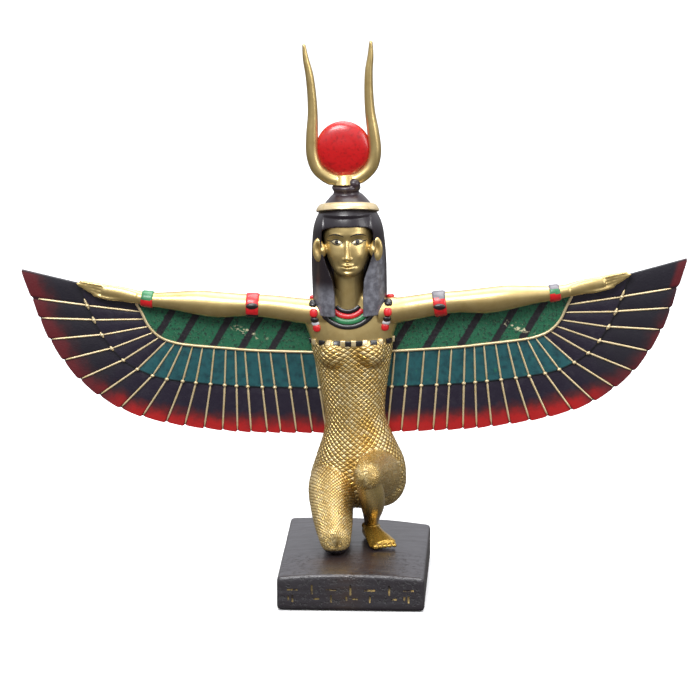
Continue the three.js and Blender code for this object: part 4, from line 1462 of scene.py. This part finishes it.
def model_wing_plate(name):
    """The wing on the +X side, one sheet of feathers that is then given its thickness."""
    feathers = sizes().feathers
    columns = feathers * COLUMNS_PER_FEATHER + 1
    rows = [(tier, n / (count - 1)) for tier, (*_, count) in enumerate(TIERS) for n in range(count)]
    deselect()
    bpy.ops.mesh.primitive_grid_add(
        x_subdivisions=columns - 1, y_subdivisions=len(rows) - 1, size=1, calc_uvs=True)
    plate = bpy.context.object
    plate.name = name
    mesh = plate.data
    if len(mesh.vertices) != columns * len(rows):
        raise RuntimeError("the grid of the wing has the wrong number of points")
    co = np.empty((len(rows), columns, 3))
    place = np.empty((len(rows), columns, 2))
    for r, (tier, t) in enumerate(rows):
        thickness = TIERS[tier][2]
        for c in range(columns):
            feather = c / COLUMNS_PER_FEATHER
            at = 0.004 + t * 0.996 if tier else t
            x, z = feather_point(tier, feather, at)
            raised = thickness + feather_relief(tier, feather, t)
            if tier == 0:
                grain = noise.noise(Vector((x * 1.6, z * 1.6, 3.0)))
                grain += 0.6 * noise.noise(Vector((x * 3.4, z * 3.4, 9.0)))
                raised += 0.16 * grain * min(1.0, (1 - t) * 12)
            co[r, c] = x, wing_depth(x) + COVERT_THICKNESS - raised, z
            place[r, c] = feather, tier + t * 0.999
    set_points(plate, co.reshape(-1, 3))
    corners = np.empty(len(mesh.loops), int)
    mesh.loops.foreach_get("vertex_index", corners)
    while mesh.uv_layers:
        mesh.uv_layers.remove(mesh.uv_layers[0])
    layer = mesh.uv_layers.new(name="pattern")
    layer.data.foreach_set("uv", place.reshape(-1, 2)[corners].ravel())
    return thicken_wing(plate)


def thicken_wing(plate):
    """Extrudes the sheet to the flat back of the wing, where the feathers show as grooves."""
    front_count = len(plate.data.vertices)
    pick(plate)
    bpy.ops.object.mode_set(mode="EDIT")
    bpy.ops.mesh.select_all(action="SELECT")
    bpy.ops.mesh.extrude_region_move(TRANSFORM_OT_translate={"value": (0, 1.0, 0)})
    bpy.ops.mesh.select_all(action="SELECT")
    bpy.ops.mesh.normals_make_consistent(inside=False)
    bpy.ops.object.mode_set(mode="OBJECT")
    co = points_of(plate)
    selected_back = np.arange(len(co)) >= front_count
    if selected_back.sum() != front_count:
        raise RuntimeError("the wing's back doesn't match its front")
    column = np.arange(front_count) % (sizes().feathers * COLUMNS_PER_FEATHER + 1)
    part = (column / COLUMNS_PER_FEATHER) % 1.0
    groove = 0.16 * np.exp(-(np.minimum(part, 1 - part) / 0.07) ** 2)
    back = co[front_count:]
    back[:, 1] = wing_depth(back[:, 0]) + COVERT_THICKNESS - groove
    co[front_count:] = back
    set_points(plate, co)
    return plate


def strip_rings(tier, feather, t_from, t_to, half_width, half_height, steps, taper=1.0):
    """Sections of a raised line along one quill."""
    thickness = TIERS[tier][2]
    spots = []
    for n in range(steps + 1):
        t = t_from + (t_to - t_from) * n / steps
        x, z = feather_point(tier, feather, t)
        y = wing_depth(x) + COVERT_THICKNESS - thickness - 0.05
        spots.append(Vector((x, y, z)))
    rings = []
    for n, spot in enumerate(spots):
        along = (spots[min(n + 1, steps)] - spots[max(n - 1, 0)]).normalized()
        across = along.cross(ACROSS_Y).normalized()
        w = n / steps
        uneven = 1 + 0.12 * noise.noise(Vector((feather * 3.1, w * 4.0, tier)))
        size = half_width * uneven * (1 + (taper - 1) * w)
        end = 0.45 if n in (0, steps) else 1.0
        rings.append((spot, across, along.cross(across), size * end, half_height * end))
    return rings


def model_quills(name):
    half = sizes().quill_width / 2
    clay = Clay(name)
    for k in range(1, sizes().feathers):
        reach = 0.9 if k == 1 else 0.975
        clay.strand(strip_rings(1, k, 0.03, 1.0, half * 0.85, 0.30, 8, 1.1), 10)
        clay.strand(strip_rings(2, k, 0.0, reach, half, 0.30, 10, 0.85), 10)
    return clay.done()


def guide_rings(curve, first, last, y_lift, half_width, half_height, steps):
    """Sections of a raised line along a guide curve."""
    spots = []
    for n in range(steps + 1):
        x, z = guide(curve, first + (last - first) * n / steps)
        spots.append(Vector((x, wing_depth(x) + y_lift, z)))
    rings = []
    for n, spot in enumerate(spots):
        along = (spots[min(n + 1, steps)] - spots[max(n - 1, 0)]).normalized()
        across = along.cross(ACROSS_Y).normalized()
        end = 0.4 if n in (0, steps) else 1.0
        rings.append((spot, across, along.cross(across), half_width * end, half_height * end))
    return rings


def model_borders(name):
    """The gold line along the coverts, and the beads and dashes where quills cross the arc."""
    clay = Clay(name)
    clay.strand(guide_rings(COVERT_EDGE, 0.15, sizes().feathers, 0.02, 0.36, 0.34, 90), 10)
    lift = COVERT_THICKNESS - INNER_THICKNESS - 0.05
    for k in range(1, sizes().feathers):
        length = max(0.0, 0.30 - 0.032 * k)
        if length > 0.04:
            clay.strand(guide_rings(CROSS_LINE, k - length, k + length, lift, 0.30, 0.36, 6), 10)
        x, z = guide(CROSS_LINE, k)
        clay.ball((x, wing_depth(x) + lift - 0.08, z), (0.52, 0.42, 0.44), 12, 8)
    return clay.done()


def wing_paint(name, side):
    """Green small feathers with black bars, teal and navy middle ones, navy to red long ones, with painted
    shadow beside each quill.
    """
    tones = colours()
    paint = Paint(name)
    place = paint.body_place()
    x, y, z = paint.split(place)
    feather, tier, _ = paint.split(paint.pattern_place())
    front = (y - WING_FRONT - COVERT_THICKNESS * 0.62).rises(0.45, 0.0)

    grit = paint.grain(place, 1.5, 5.0, 0.7)
    speck = paint.grain(place, 3.4, 3.0, 0.7).rises(0.56, 0.68)
    green = paint.mix(tones.green, (0.004, 0.030, 0.020), grit.rises(0.5, 0.62))
    green = paint.mix(green, (0.16, 0.30, 0.15), speck * grit.rises(0.42, 0.6) * 0.8)
    if side > 0:
        bars = [13.7, 21.9, 30.2, 38.1, 44.6]
        smudge = (40.5, 61.6)
    else:
        bars = [-47.4, -40.8, -31.9, -24.4, -16.7]
        smudge = (-26.3, 61.2)
    slanted = x - (z - 63.3) * 0.62 + (grit - 0.5) * 0.9
    nearest = abs(slanted - bars[0])
    for bar in bars[1:]:
        nearest = nearest.least(abs(slanted - bar))
    bar_mask = nearest.rises(1.15, 0.85)
    covert = paint.mix(green, (0.008, 0.006, 0.010), bar_mask * front)
    blot = (((x - smudge[0]) / 5.5) ** 2 + ((z - smudge[1] + (x - smudge[0]) * 0.35) / 1.3) ** 2)
    blot = blot.rises(1.0, 0.2) * paint.grain(place, 1.1, 4.0, 0.7).rises(0.54, 0.62)
    covert = paint.mix(covert, (0.72, 0.66, 0.42), blot * front)

    cloud = paint.grain(place, 0.55, 4.0, 0.6)
    teal = paint.mix(tones.teal, (0.006, 0.040, 0.050), cloud.rises(0.4, 0.75))
    teal = paint.mix(teal, (0.015, 0.15, 0.09), paint.grain(place, 0.8, 3.0).rises(0.62, 0.74) * 0.6)
    navy = paint.mix(tones.navy, (0.022, 0.018, 0.030), cloud.rises(0.45, 0.8))
    fan = feather.rises(6.02, 5.98) if side < 0 else feather.rises(6.02, 5.98)
    inner = paint.mix(teal, navy, fan)

    reach = (tier - 2) + (paint.grain(place, 0.35, 3.0) - 0.5) * 0.35
    if side < 0:
        begin = feather.rises(0.0, 8.0) * 0.10 + 0.42
    else:
        begin = feather.rises(9.0, 0.0) * 0.32 + 0.46
    blush = ((reach - begin) / 0.42).least(1.0).most(0.0)
    brown = (0.075, 0.010, 0.012)
    outer = paint.mix(navy, brown, blush.rises(0.0, 0.55))
    outer = paint.mix(outer, tones.red, blush.rises(0.35, 1.0))
    if side > 0:
        tip = feather.rises(1.05, 0.95) * (tier - 2).rises(0.80, 0.9)
        outer = paint.mix(outer, tones.red, tip)

    colour = paint.mix(inner, outer, tier.rises(1.995, 2.0))
    colour = paint.mix(covert, colour, tier.rises(0.9985, 0.9995))
    part = feather.fraction()
    # Painted shadow: a dark line along both sides of each quill on the middle and long feathers.
    quill_shadow = part.rises(0.10, 0.03).most(part.rises(0.90, 0.97)) * tier.rises(0.98, 1.0)
    colour = paint.mix(colour, (0.004, 0.003, 0.005), quill_shadow * 0.75)
    arc = abs(tier - 2).rises(0.035, 0.015)
    colour = paint.mix(colour, (0.004, 0.003, 0.005), arc * 0.7)
    behind = (1 - front) * 0.75
    colour = paint.mix(colour, (0.010, 0.009, 0.014), behind)
    on_covert = tier.rises(1.0, 0.995)
    height = grit * on_covert * 2.2 + paint.grain(place, 2.4, 4.0) * 0.5
    bump = paint.relief(height, 0.14, 0.7)
    rough = 0.36 + on_covert * 0.12 + paint.grain(place, 1.2) * 0.12
    return paint.finish(base_color=colour, roughness=rough, specular_ior_level=0.45, normal=bump)


# Jewels: collar, straps, neckline blocks and arm bands

def arc_patch(name, tree, middle, radius_in, radius_out, turn, lift, steps=40):
    """A raised curved strip that follows the chest, given by its radii about a point."""
    spots = []
    mid = (radius_in + radius_out) / 2
    for n in range(steps + 1):
        angle = -turn + 2 * turn * n / steps
        x = middle[0] + mid * math.sin(angle)
        z = middle[1] - mid * math.cos(angle)
        point, normal = front_of(tree, x, z, lean_matrix())
        spots.append((point + normal * lift, normal))
    return spots


def strip_on_skin(clay, spots, half_width, half_height, sides=14):
    """A rounded strip through points on the skin."""
    rings = []
    last = len(spots) - 1
    for n, (point, normal) in enumerate(spots):
        along = (spots[min(n + 1, last)][0] - spots[max(n - 1, 0)][0]).normalized()
        across = along.cross(normal).normalized()
        lifted = across.cross(along).normalized()
        end = 0.6 if n in (0, last) else 1.0
        rings.append((point, across, lifted, half_width * end, half_height * end))
    clay.strand(rings, sides)


COLLAR_MIDDLE = (-1.05, 71.3)
COLLAR_BANDS = [
    ("collar_inner", 3.1, 4.3, "ink", 50),
    ("collar_red", 4.25, 5.6, "red", 48),
    ("collar_green", 5.55, 6.9, "green", 50),
    ("collar_outer", 6.85, 8.15, "ink", 54),
]


def model_collar(tree):
    pieces = []
    for name, inside, outside, tone, degrees in COLLAR_BANDS:
        clay = Clay(name)
        spots = arc_patch(
            name, tree, COLLAR_MIDDLE, inside, outside, math.radians(degrees), 0.12)
        strip_on_skin(clay, spots, (outside - inside) / 2 * 0.98, 0.34)
        pieces.append((clay.done(), tone))
    return pieces


STRAP_BEADS = [
    (71.6, 1.1, "red"), (69.4, 1.0, "ink"), (67.3, 1.05, "red"), (65.6, 0.7, "ink"),
    (64.6, 0.65, "silver"), (63.4, 0.95, "red"),
]
STRAP_X = {-1: (-9.75, -8.9), 1: (9.0, 7.95)}


def model_straps(tree):
    """A string of rounded beads down each side of the chest, from under the wig."""
    by_tone = {}
    for side, (x_top, x_low) in STRAP_X.items():
        for n, (z, half, tone) in enumerate(STRAP_BEADS):
            w = n / (len(STRAP_BEADS) - 1)
            x = x_top + (x_low - x_top) * w ** 1.5
            point, normal = front_of(tree, x, z, lean_matrix())
            by_tone.setdefault(tone, []).append((point, normal, half))
    pieces = []
    for tone, beads in by_tone.items():
        clay = Clay("strap_" + tone)
        for point, normal, half in beads:
            up = (Vector((0, 0, 1)) - normal.z * normal).normalized()
            across = up.cross(normal).normalized()
            rings = []
            for k in range(9):
                turn = math.pi * (k + 0.5) / 9
                swell = math.sin(turn) ** 0.5
                centre = point + normal * 0.1 - up * half * math.cos(turn)
                rings.append((centre, across, normal, 1.02 * swell, 0.62 * swell))
            clay.strand(rings, 18)
        pieces.append((clay.done(), tone))
    return pieces


def model_neckline(tree):
    """Alternate dark and gold blocks along the top of the dress."""
    count = 26
    blocks = {"ink": [], "bright": []}
    rows = [(x, y, z, a, b) for z, x, y, a, b in TRUNK]
    trunk_t = (11 - (60.8 - 59.7) / 5.1) / (len(TRUNK) - 1)
    x0, y0, _, a, b = smooth_row(rows, trunk_t)
    lean = lean_matrix()
    for n in range(count):
        turn = 2 * math.pi * (n + 0.5) / count
        direction = Vector((math.sin(turn), -math.cos(turn), 0))
        start = lean @ (Vector((x0, y0, 59.7)) + Vector((direction.x * 30, direction.y * 30, 0)))
        inward = -(lean.to_3x3() @ direction)
        point, normal, _, _ = tree.ray_cast(start, inward)
        if point is None:
            continue
        if (lean.inverted() @ point).y > WING_FRONT - 0.6 and abs(point.x) > 7.5:
            continue
        blocks["ink" if n % 2 else "bright"].append((point, normal))
    pieces = []
    for tone, spots in blocks.items():
        clay = Clay("neckline_" + tone)
        for point, normal in spots:
            up = (Vector((0, 0, 1)) - normal.z * normal).normalized()
            across = up.cross(normal).normalized()
            turn = Matrix((across, normal, across.cross(normal))).transposed()
            width = 1.75 if tone == "ink" else 1.35
            height = 1.35 if tone == "ink" else 1.55
            clay.block(point + normal * 0.05, (width, 0.8, height), 0.22, 3, turn)
        pieces.append((clay.done(), tone))
    return pieces


def arm_station(x):
    low, high = 0.0, 1.0
    for _ in range(30):
        half = (low + high) / 2
        if smooth_row(ARM, half)[0] < x:
            low = half
        else:
            high = half
    return limb_station(ARM, low, ACROSS_Y)


def cuff_rings(x_from, x_to, relief=0.4):
    """Sections of a rounded band around the arm."""
    rings = []
    profile = [(0.0, -0.25), (0.02, 0.55), (0.16, 1.0), (0.5, 1.0), (0.84, 1.0), (0.98, 0.55), (1.0, -0.25)]
    for w, out in profile:
        c, u, v, _, a, b = arm_station(x_from + (x_to - x_from) * w)
        rings.append((c, u, v, a + relief * out * 0.8, b + relief * out))
    return rings


# Side of the body, span along the arm, and the tones from the top of the band to the bottom,
# each with the share of the arm's height at which it begins.
CUFFS = {
    "armlet_left": (1, 19.9, 23.1, [(0.62, "grey"), (0.25, "red"), (-0.55, "red"), (-1.2, "red")]),
    "bracelet_left": (1, 48.5, 51.2, [(0.72, "grey"), (0.1, "green"), (-1.2, "red")]),
    "armlet_right": (-1, 23.2, 26.4, [(0.72, "red"), (-0.72, "red"), (-1.2, "ink")]),
    "bracelet_right": (-1, 49.5, 52.5, [(0.05, "green"), (-1.2, "red")]),
}


def model_cuff(name, side, x_from, x_to):
    clay = Clay(name)
    rings = cuff_rings(x_from, x_to)
    clay.strand(rings if side > 0 else mirrored_rings(rings), 48)
    return clay.done(lean_matrix())


def tone_cuff(piece, side, x_from, x_to, bands, tones):
    """Gives the faces of a band their colours, from the top down."""
    c, _, _, _, _, b = arm_station((x_from + x_to) / 2)
    middle = lean_matrix() @ Vector((c.x * side, c.y, c.z))
    names = sorted({tone for _, tone in bands})
    for tone in names:
        piece.data.materials.append(tones[tone])
    for face in piece.data.polygons:
        height = (face.center.z - middle.z) / b
        tone = next((t for start, t in bands if height > start), bands[-1][1])
        face.material_index = names.index(tone)
    return piece


def model_studs():
    """The dark oval stone on the front of each armlet."""
    clay = Clay("armlet_stones")
    for side, x in ((1, 21.5), (-1, 24.8)):
        c, _, _, _, a, b = arm_station(x)
        height = 0.12 if side < 0 else -0.1
        centre = Vector((side * c.x, c.y - (a + 0.25) * 0.98, c.z + b * height))
        clay.ball(centre, (1.55, 0.5, 0.8), 24, 12)
    return clay.done(lean_matrix())


# Stage

def add_area(name, place, target, size, watts, colour=(1, 1, 1)):
    lamp = bpy.data.lights.new(name, "AREA")
    lamp.shape = "RECTANGLE"
    lamp.size, lamp.size_y = size
    lamp.energy = watts
    lamp.color = colour
    holder = bpy.data.objects.new(name, lamp)
    holder.location = place
    aim = Vector(target) - Vector(place)
    holder.rotation_euler = aim.to_track_quat("-Z", "Y").to_euler()
    bpy.context.scene.collection.objects.link(holder)
    return holder


CAMERA_AZIMUTH = math.radians(2.65)
CAMERA_ELEVATION = math.radians(12.4)
CAMERA_DISTANCE = 1.097
CAMERA_TARGET = (-0.0016, 0.0040, 0.0577)
FOCAL_PIXELS = 4441.0
IMAGE_PIXELS = 700.0


def model_stage():
    scene = bpy.context.scene
    lens = bpy.data.cameras.new("camera")
    lens.sensor_width = 36.0
    lens.lens = FOCAL_PIXELS / IMAGE_PIXELS * lens.sensor_width
    camera = bpy.data.objects.new("camera", lens)
    a, e = CAMERA_AZIMUTH, CAMERA_ELEVATION
    back = Vector((math.sin(a) * math.cos(e), -math.cos(a) * math.cos(e), math.sin(e)))
    camera.location = Vector(CAMERA_TARGET) + back * CAMERA_DISTANCE
    camera.rotation_euler = (-back).to_track_quat("-Z", "Y").to_euler()
    scene.collection.objects.link(camera)
    scene.camera = camera
    scene.view_settings.view_transform = "Standard"
    scene.view_settings.look = "None"

    deselect()
    bpy.ops.mesh.primitive_plane_add(size=8.0, location=(0, 0, -0.0002))
    floor = bpy.context.object
    floor.name = "floor"
    paint = Paint("pale_floor")
    place = paint.object_place()
    tone = paint.mix((0.93, 0.93, 0.93), (0.96, 0.96, 0.96), paint.grain(place, 3.0))
    floor.data.materials.append(paint.finish(base_color=tone, roughness=0.9))
    floor.visible_glossy = False
    floor.visible_diffuse = False
    add_area("key", (-0.25, -0.75, 0.75), (0, 0, 0.06), (0.55, 0.35), 9.0)
    add_area("top", (0.1, 0.1, 0.9), (0, 0, 0.06), (0.9, 0.7), 9.0)
    add_area("fill", (0.8, -0.5, 0.35), (0, 0, 0.06), (0.4, 0.5), 2.5)
    make_studio()


def make_studio():
    """White all round above the table, darker below it, and plain white to the camera."""
    world = bpy.data.worlds.new("studio")
    bpy.context.scene.world = world
    world.use_nodes = True
    nodes, links = world.node_tree.nodes, world.node_tree.links
    nodes.clear()
    place = nodes.new("ShaderNodeTexCoord")
    split = nodes.new("ShaderNodeSeparateXYZ")
    ramp = nodes.new("ShaderNodeValToRGB")
    shift = nodes.new("ShaderNodeMapRange")
    shift.inputs["From Min"].default_value = -1.0
    seen = nodes.new("ShaderNodeBackground")
    soft = nodes.new("ShaderNodeBackground")
    path = nodes.new("ShaderNodeLightPath")
    choose = nodes.new("ShaderNodeMixShader")
    out = nodes.new("ShaderNodeOutputWorld")
    stops = [
        (0.0, (0.10, 0.10, 0.10)), (0.44, (0.16, 0.15, 0.14)), (0.52, (0.42, 0.42, 0.43)),
        (0.62, (0.78, 0.79, 0.84)), (1.0, (0.95, 0.95, 0.97)),
    ]
    while len(ramp.color_ramp.elements) < len(stops):
        ramp.color_ramp.elements.new(1.0)
    for element, (spot, colour) in zip(ramp.color_ramp.elements, stops):
        element.position = spot
        element.color = (*colour, 1.0)
    links.new(place.outputs["Generated"], split.inputs[0])
    links.new(split.outputs["Z"], shift.inputs["Value"])
    links.new(shift.outputs[0], ramp.inputs[0])
    links.new(ramp.outputs["Color"], soft.inputs["Color"])
    seen.inputs["Color"].default_value = (1, 1, 1, 1)
    links.new(path.outputs["Is Camera Ray"], choose.inputs[0])
    links.new(soft.outputs[0], choose.inputs[1])
    links.new(seen.outputs[0], choose.inputs[2])
    links.new(choose.outputs[0], out.inputs["Surface"])


# Operators

class PieceOperator(bpy.types.Operator):
    """Base of the operators that add one piece or a group of like pieces."""

    bl_idname = "figurine.base"
    bl_label = "Piece"
    bl_options = {"REGISTER", "UNDO"}


class FIGURINE_OT_stage(bpy.types.Operator):
    """Adds the camera, the pale floor and the soft studio light."""

    bl_idname = "figurine.add_stage"
    bl_label = "Stage"
    bl_options = {"REGISTER", "UNDO"}

    def execute(self, context):
        model_stage()
        return {"FINISHED"}


class FIGURINE_OT_plinth(bpy.types.Operator):
    """Models the black plinth with its bowed, pitted top and the gold strokes on its front."""

    bl_idname = "figurine.add_plinth"
    bl_label = "Plinth"
    bl_options = {"REGISTER", "UNDO"}

    def execute(self, context):
        body = model_plinth()
        body.data.materials.append(plinth_paint())
        body.data.materials.append(stroke_paint())
        carve_strokes(body)
        complete(body, None, ["plinth"], 40)
        return {"FINISHED"}


class FIGURINE_OT_dress(bpy.types.Operator):
    """Models the trunk and thighs in the tight dress of small gold scales."""

    bl_idname = "figurine.add_dress"
    bl_label = "Dress"
    bl_options = {"REGISTER", "UNDO"}

    def execute(self, context):
        dress = lay_scales(model_dress())
        complete(dress, dress_paint(), ["figure"], 80)
        return {"FINISHED"}


class FIGURINE_OT_legs(bpy.types.Operator):
    """Models the bare shin and the two feet."""

    bl_idname = "figurine.add_legs"
    bl_label = "Bare legs"
    bl_options = {"REGISTER", "UNDO"}

    def execute(self, context):
        complete(model_legs(), leg_paint(), (), 80)
        return {"FINISHED"}


class FIGURINE_OT_skin(bpy.types.Operator):
    """Models the bare chest, neck, arms and hands."""

    bl_idname = "figurine.add_skin"
    bl_label = "Arms and chest"
    bl_options = {"REGISTER", "UNDO"}

    def execute(self, context):
        skin = model_skin()
        add_jewels(surface_of(skin))
        complete(skin, skin_paint(), (), 80)
        return {"FINISHED"}


class FIGURINE_OT_head(bpy.types.Operator):
    """Models the head with a plain classical face and painted eyes."""

    bl_idname = "figurine.add_head"
    bl_label = "Head"
    bl_options = {"REGISTER", "UNDO"}

    def execute(self, context):
        complete(sculpt_face(model_head()), face_paint(), (), 80)
        return {"FINISHED"}


class FIGURINE_OT_wig(bpy.types.Operator):
    """Models the black wig, its gold headband and the small ring on top."""

    bl_idname = "figurine.add_wig"
    bl_label = "Wig"
    bl_options = {"REGISTER", "UNDO"}

    def execute(self, context):
        black = wig_paint()
        complete(model_wig(), black, (), 60)
        complete(model_top_ring(), black, (), 60)
        complete(model_headband(), bright_gold_paint("headband_gold", 0.22), (), 50)
        return {"FINISHED"}


class FIGURINE_OT_crown(bpy.types.Operator):
    """Models the pair of gold horns and the red sun disc."""

    bl_idname = "figurine.add_crown"
    bl_label = "Crown"
    bl_options = {"REGISTER", "UNDO"}

    def execute(self, context):
        complete(model_horns(), skin_paint("horn_gold"), ["crown"], 80)
        disc_red = plain_paint("disc_red", colours().disc_red, 0.22, 0.6)
        complete(model_disc(), disc_red, (), 80)
        return {"FINISHED"}


class FIGURINE_OT_wings(bpy.types.Operator):
    """Models both wings: feathered plates, gold quills, beads and border lines."""

    bl_idname = "figurine.add_wings"
    bl_label = "Wings"
    bl_options = {"REGISTER", "UNDO"}

    def execute(self, context):
        gold = bright_gold_paint("quill_gold")
        plate = model_wing_plate("wing_plate_left")
        quills = model_quills("quills_left")
        borders = model_borders("borders_left")
        flip = Matrix.Scale(-1, 4, (1, 0, 0))
        for side, word in ((1, "left"), (-1, "right")):
            node = "wing_" + word
            trio = []
            for source, kind in ((plate, "wing_plate_"), (quills, "quills_"), (borders, "borders_")):
                twin = copy_of(source, kind + word + "_piece")
                if side < 0:
                    twin.data.transform(flip)
                    twin.data.flip_normals()
                twin.data.transform(lean_matrix())
                trio.append(twin)
            paint = wing_paint("wing_" + word + "_paint", side)
            complete(trio[0], paint, [node], 35)
            complete(trio[1], gold, (), 60)
            complete(trio[2], gold, (), 60)
        for source in (plate, quills, borders):
            bpy.data.objects.remove(source)
        return {"FINISHED"}


def jewel_tones():
    tones = colours()
    return {
        "ink": plain_paint("jewel_black", (0.010, 0.008, 0.009), 0.25, 0.4),
        "red": plain_paint("jewel_red", (0.62, 0.012, 0.016), 0.28, 0.4),
        "green": plain_paint("jewel_green", (0.03, 0.20, 0.075), 0.3, 0.3),
        "grey": plain_paint("jewel_grey", (0.16, 0.15, 0.17), 0.3, 0.3),
        "silver": plain_paint("jewel_silver", (0.62, 0.62, 0.66), 0.25, 0.4),
        "bright": bright_gold_paint("jewel_gold", 0.2),
    }


def add_jewels(tree):
    """Lays the collar, straps, neckline blocks and arm bands on the bare skin."""
    tones = jewel_tones()
    for maker in (model_collar, model_straps, model_neckline):
        for piece, tone in maker(tree):
            complete(piece, tones[tone], (), 60)
    for name, (side, x_from, x_to, bands) in CUFFS.items():
        piece = model_cuff(name, side, x_from, x_to)
        tone_cuff(piece, side, x_from, x_to, bands, tones)
        complete(piece, None, (), 60)
    complete(model_studs(), tones["ink"], (), 60)


STEPS = [
    FIGURINE_OT_stage, FIGURINE_OT_plinth, FIGURINE_OT_dress, FIGURINE_OT_legs,
    FIGURINE_OT_skin, FIGURINE_OT_head, FIGURINE_OT_wig, FIGURINE_OT_crown, FIGURINE_OT_wings,
]


class FIGURINE_PT_panel(bpy.types.Panel):
    """Lists the sizes, the paints and the pieces of the figurine."""

    bl_idname = "FIGURINE_PT_panel"
    bl_label = "Winged Isis figurine"
    bl_space_type = "VIEW_3D"
    bl_region_type = "UI"
    bl_category = "Isis"

    def draw(self, context):
        layout = self.layout
        for group in (context.scene.figurine_sizes, context.scene.figurine_colours):
            for name in group.__annotations__:
                layout.prop(group, name)
        for step in STEPS:
            layout.operator(step.bl_idname)


CLASSES = [FigurineSizes, FigurineColours, *STEPS, FIGURINE_PT_panel]


def register():
    for one in CLASSES:
        bpy.utils.register_class(one)
    bpy.types.Scene.figurine_sizes = PointerProperty(type=FigurineSizes)
    bpy.types.Scene.figurine_colours = PointerProperty(type=FigurineColours)


def unregister():
    del bpy.types.Scene.figurine_colours
    del bpy.types.Scene.figurine_sizes
    for one in reversed(CLASSES):
        bpy.utils.unregister_class(one)


def main():
    register()
    for step in STEPS:
        group, name = step.bl_idname.split(".")
        result = getattr(getattr(bpy.ops, group), name)()
        if "FINISHED" not in result:
            raise RuntimeError(step.bl_label + " did not finish")


if __name__ == "__main__":
    main()
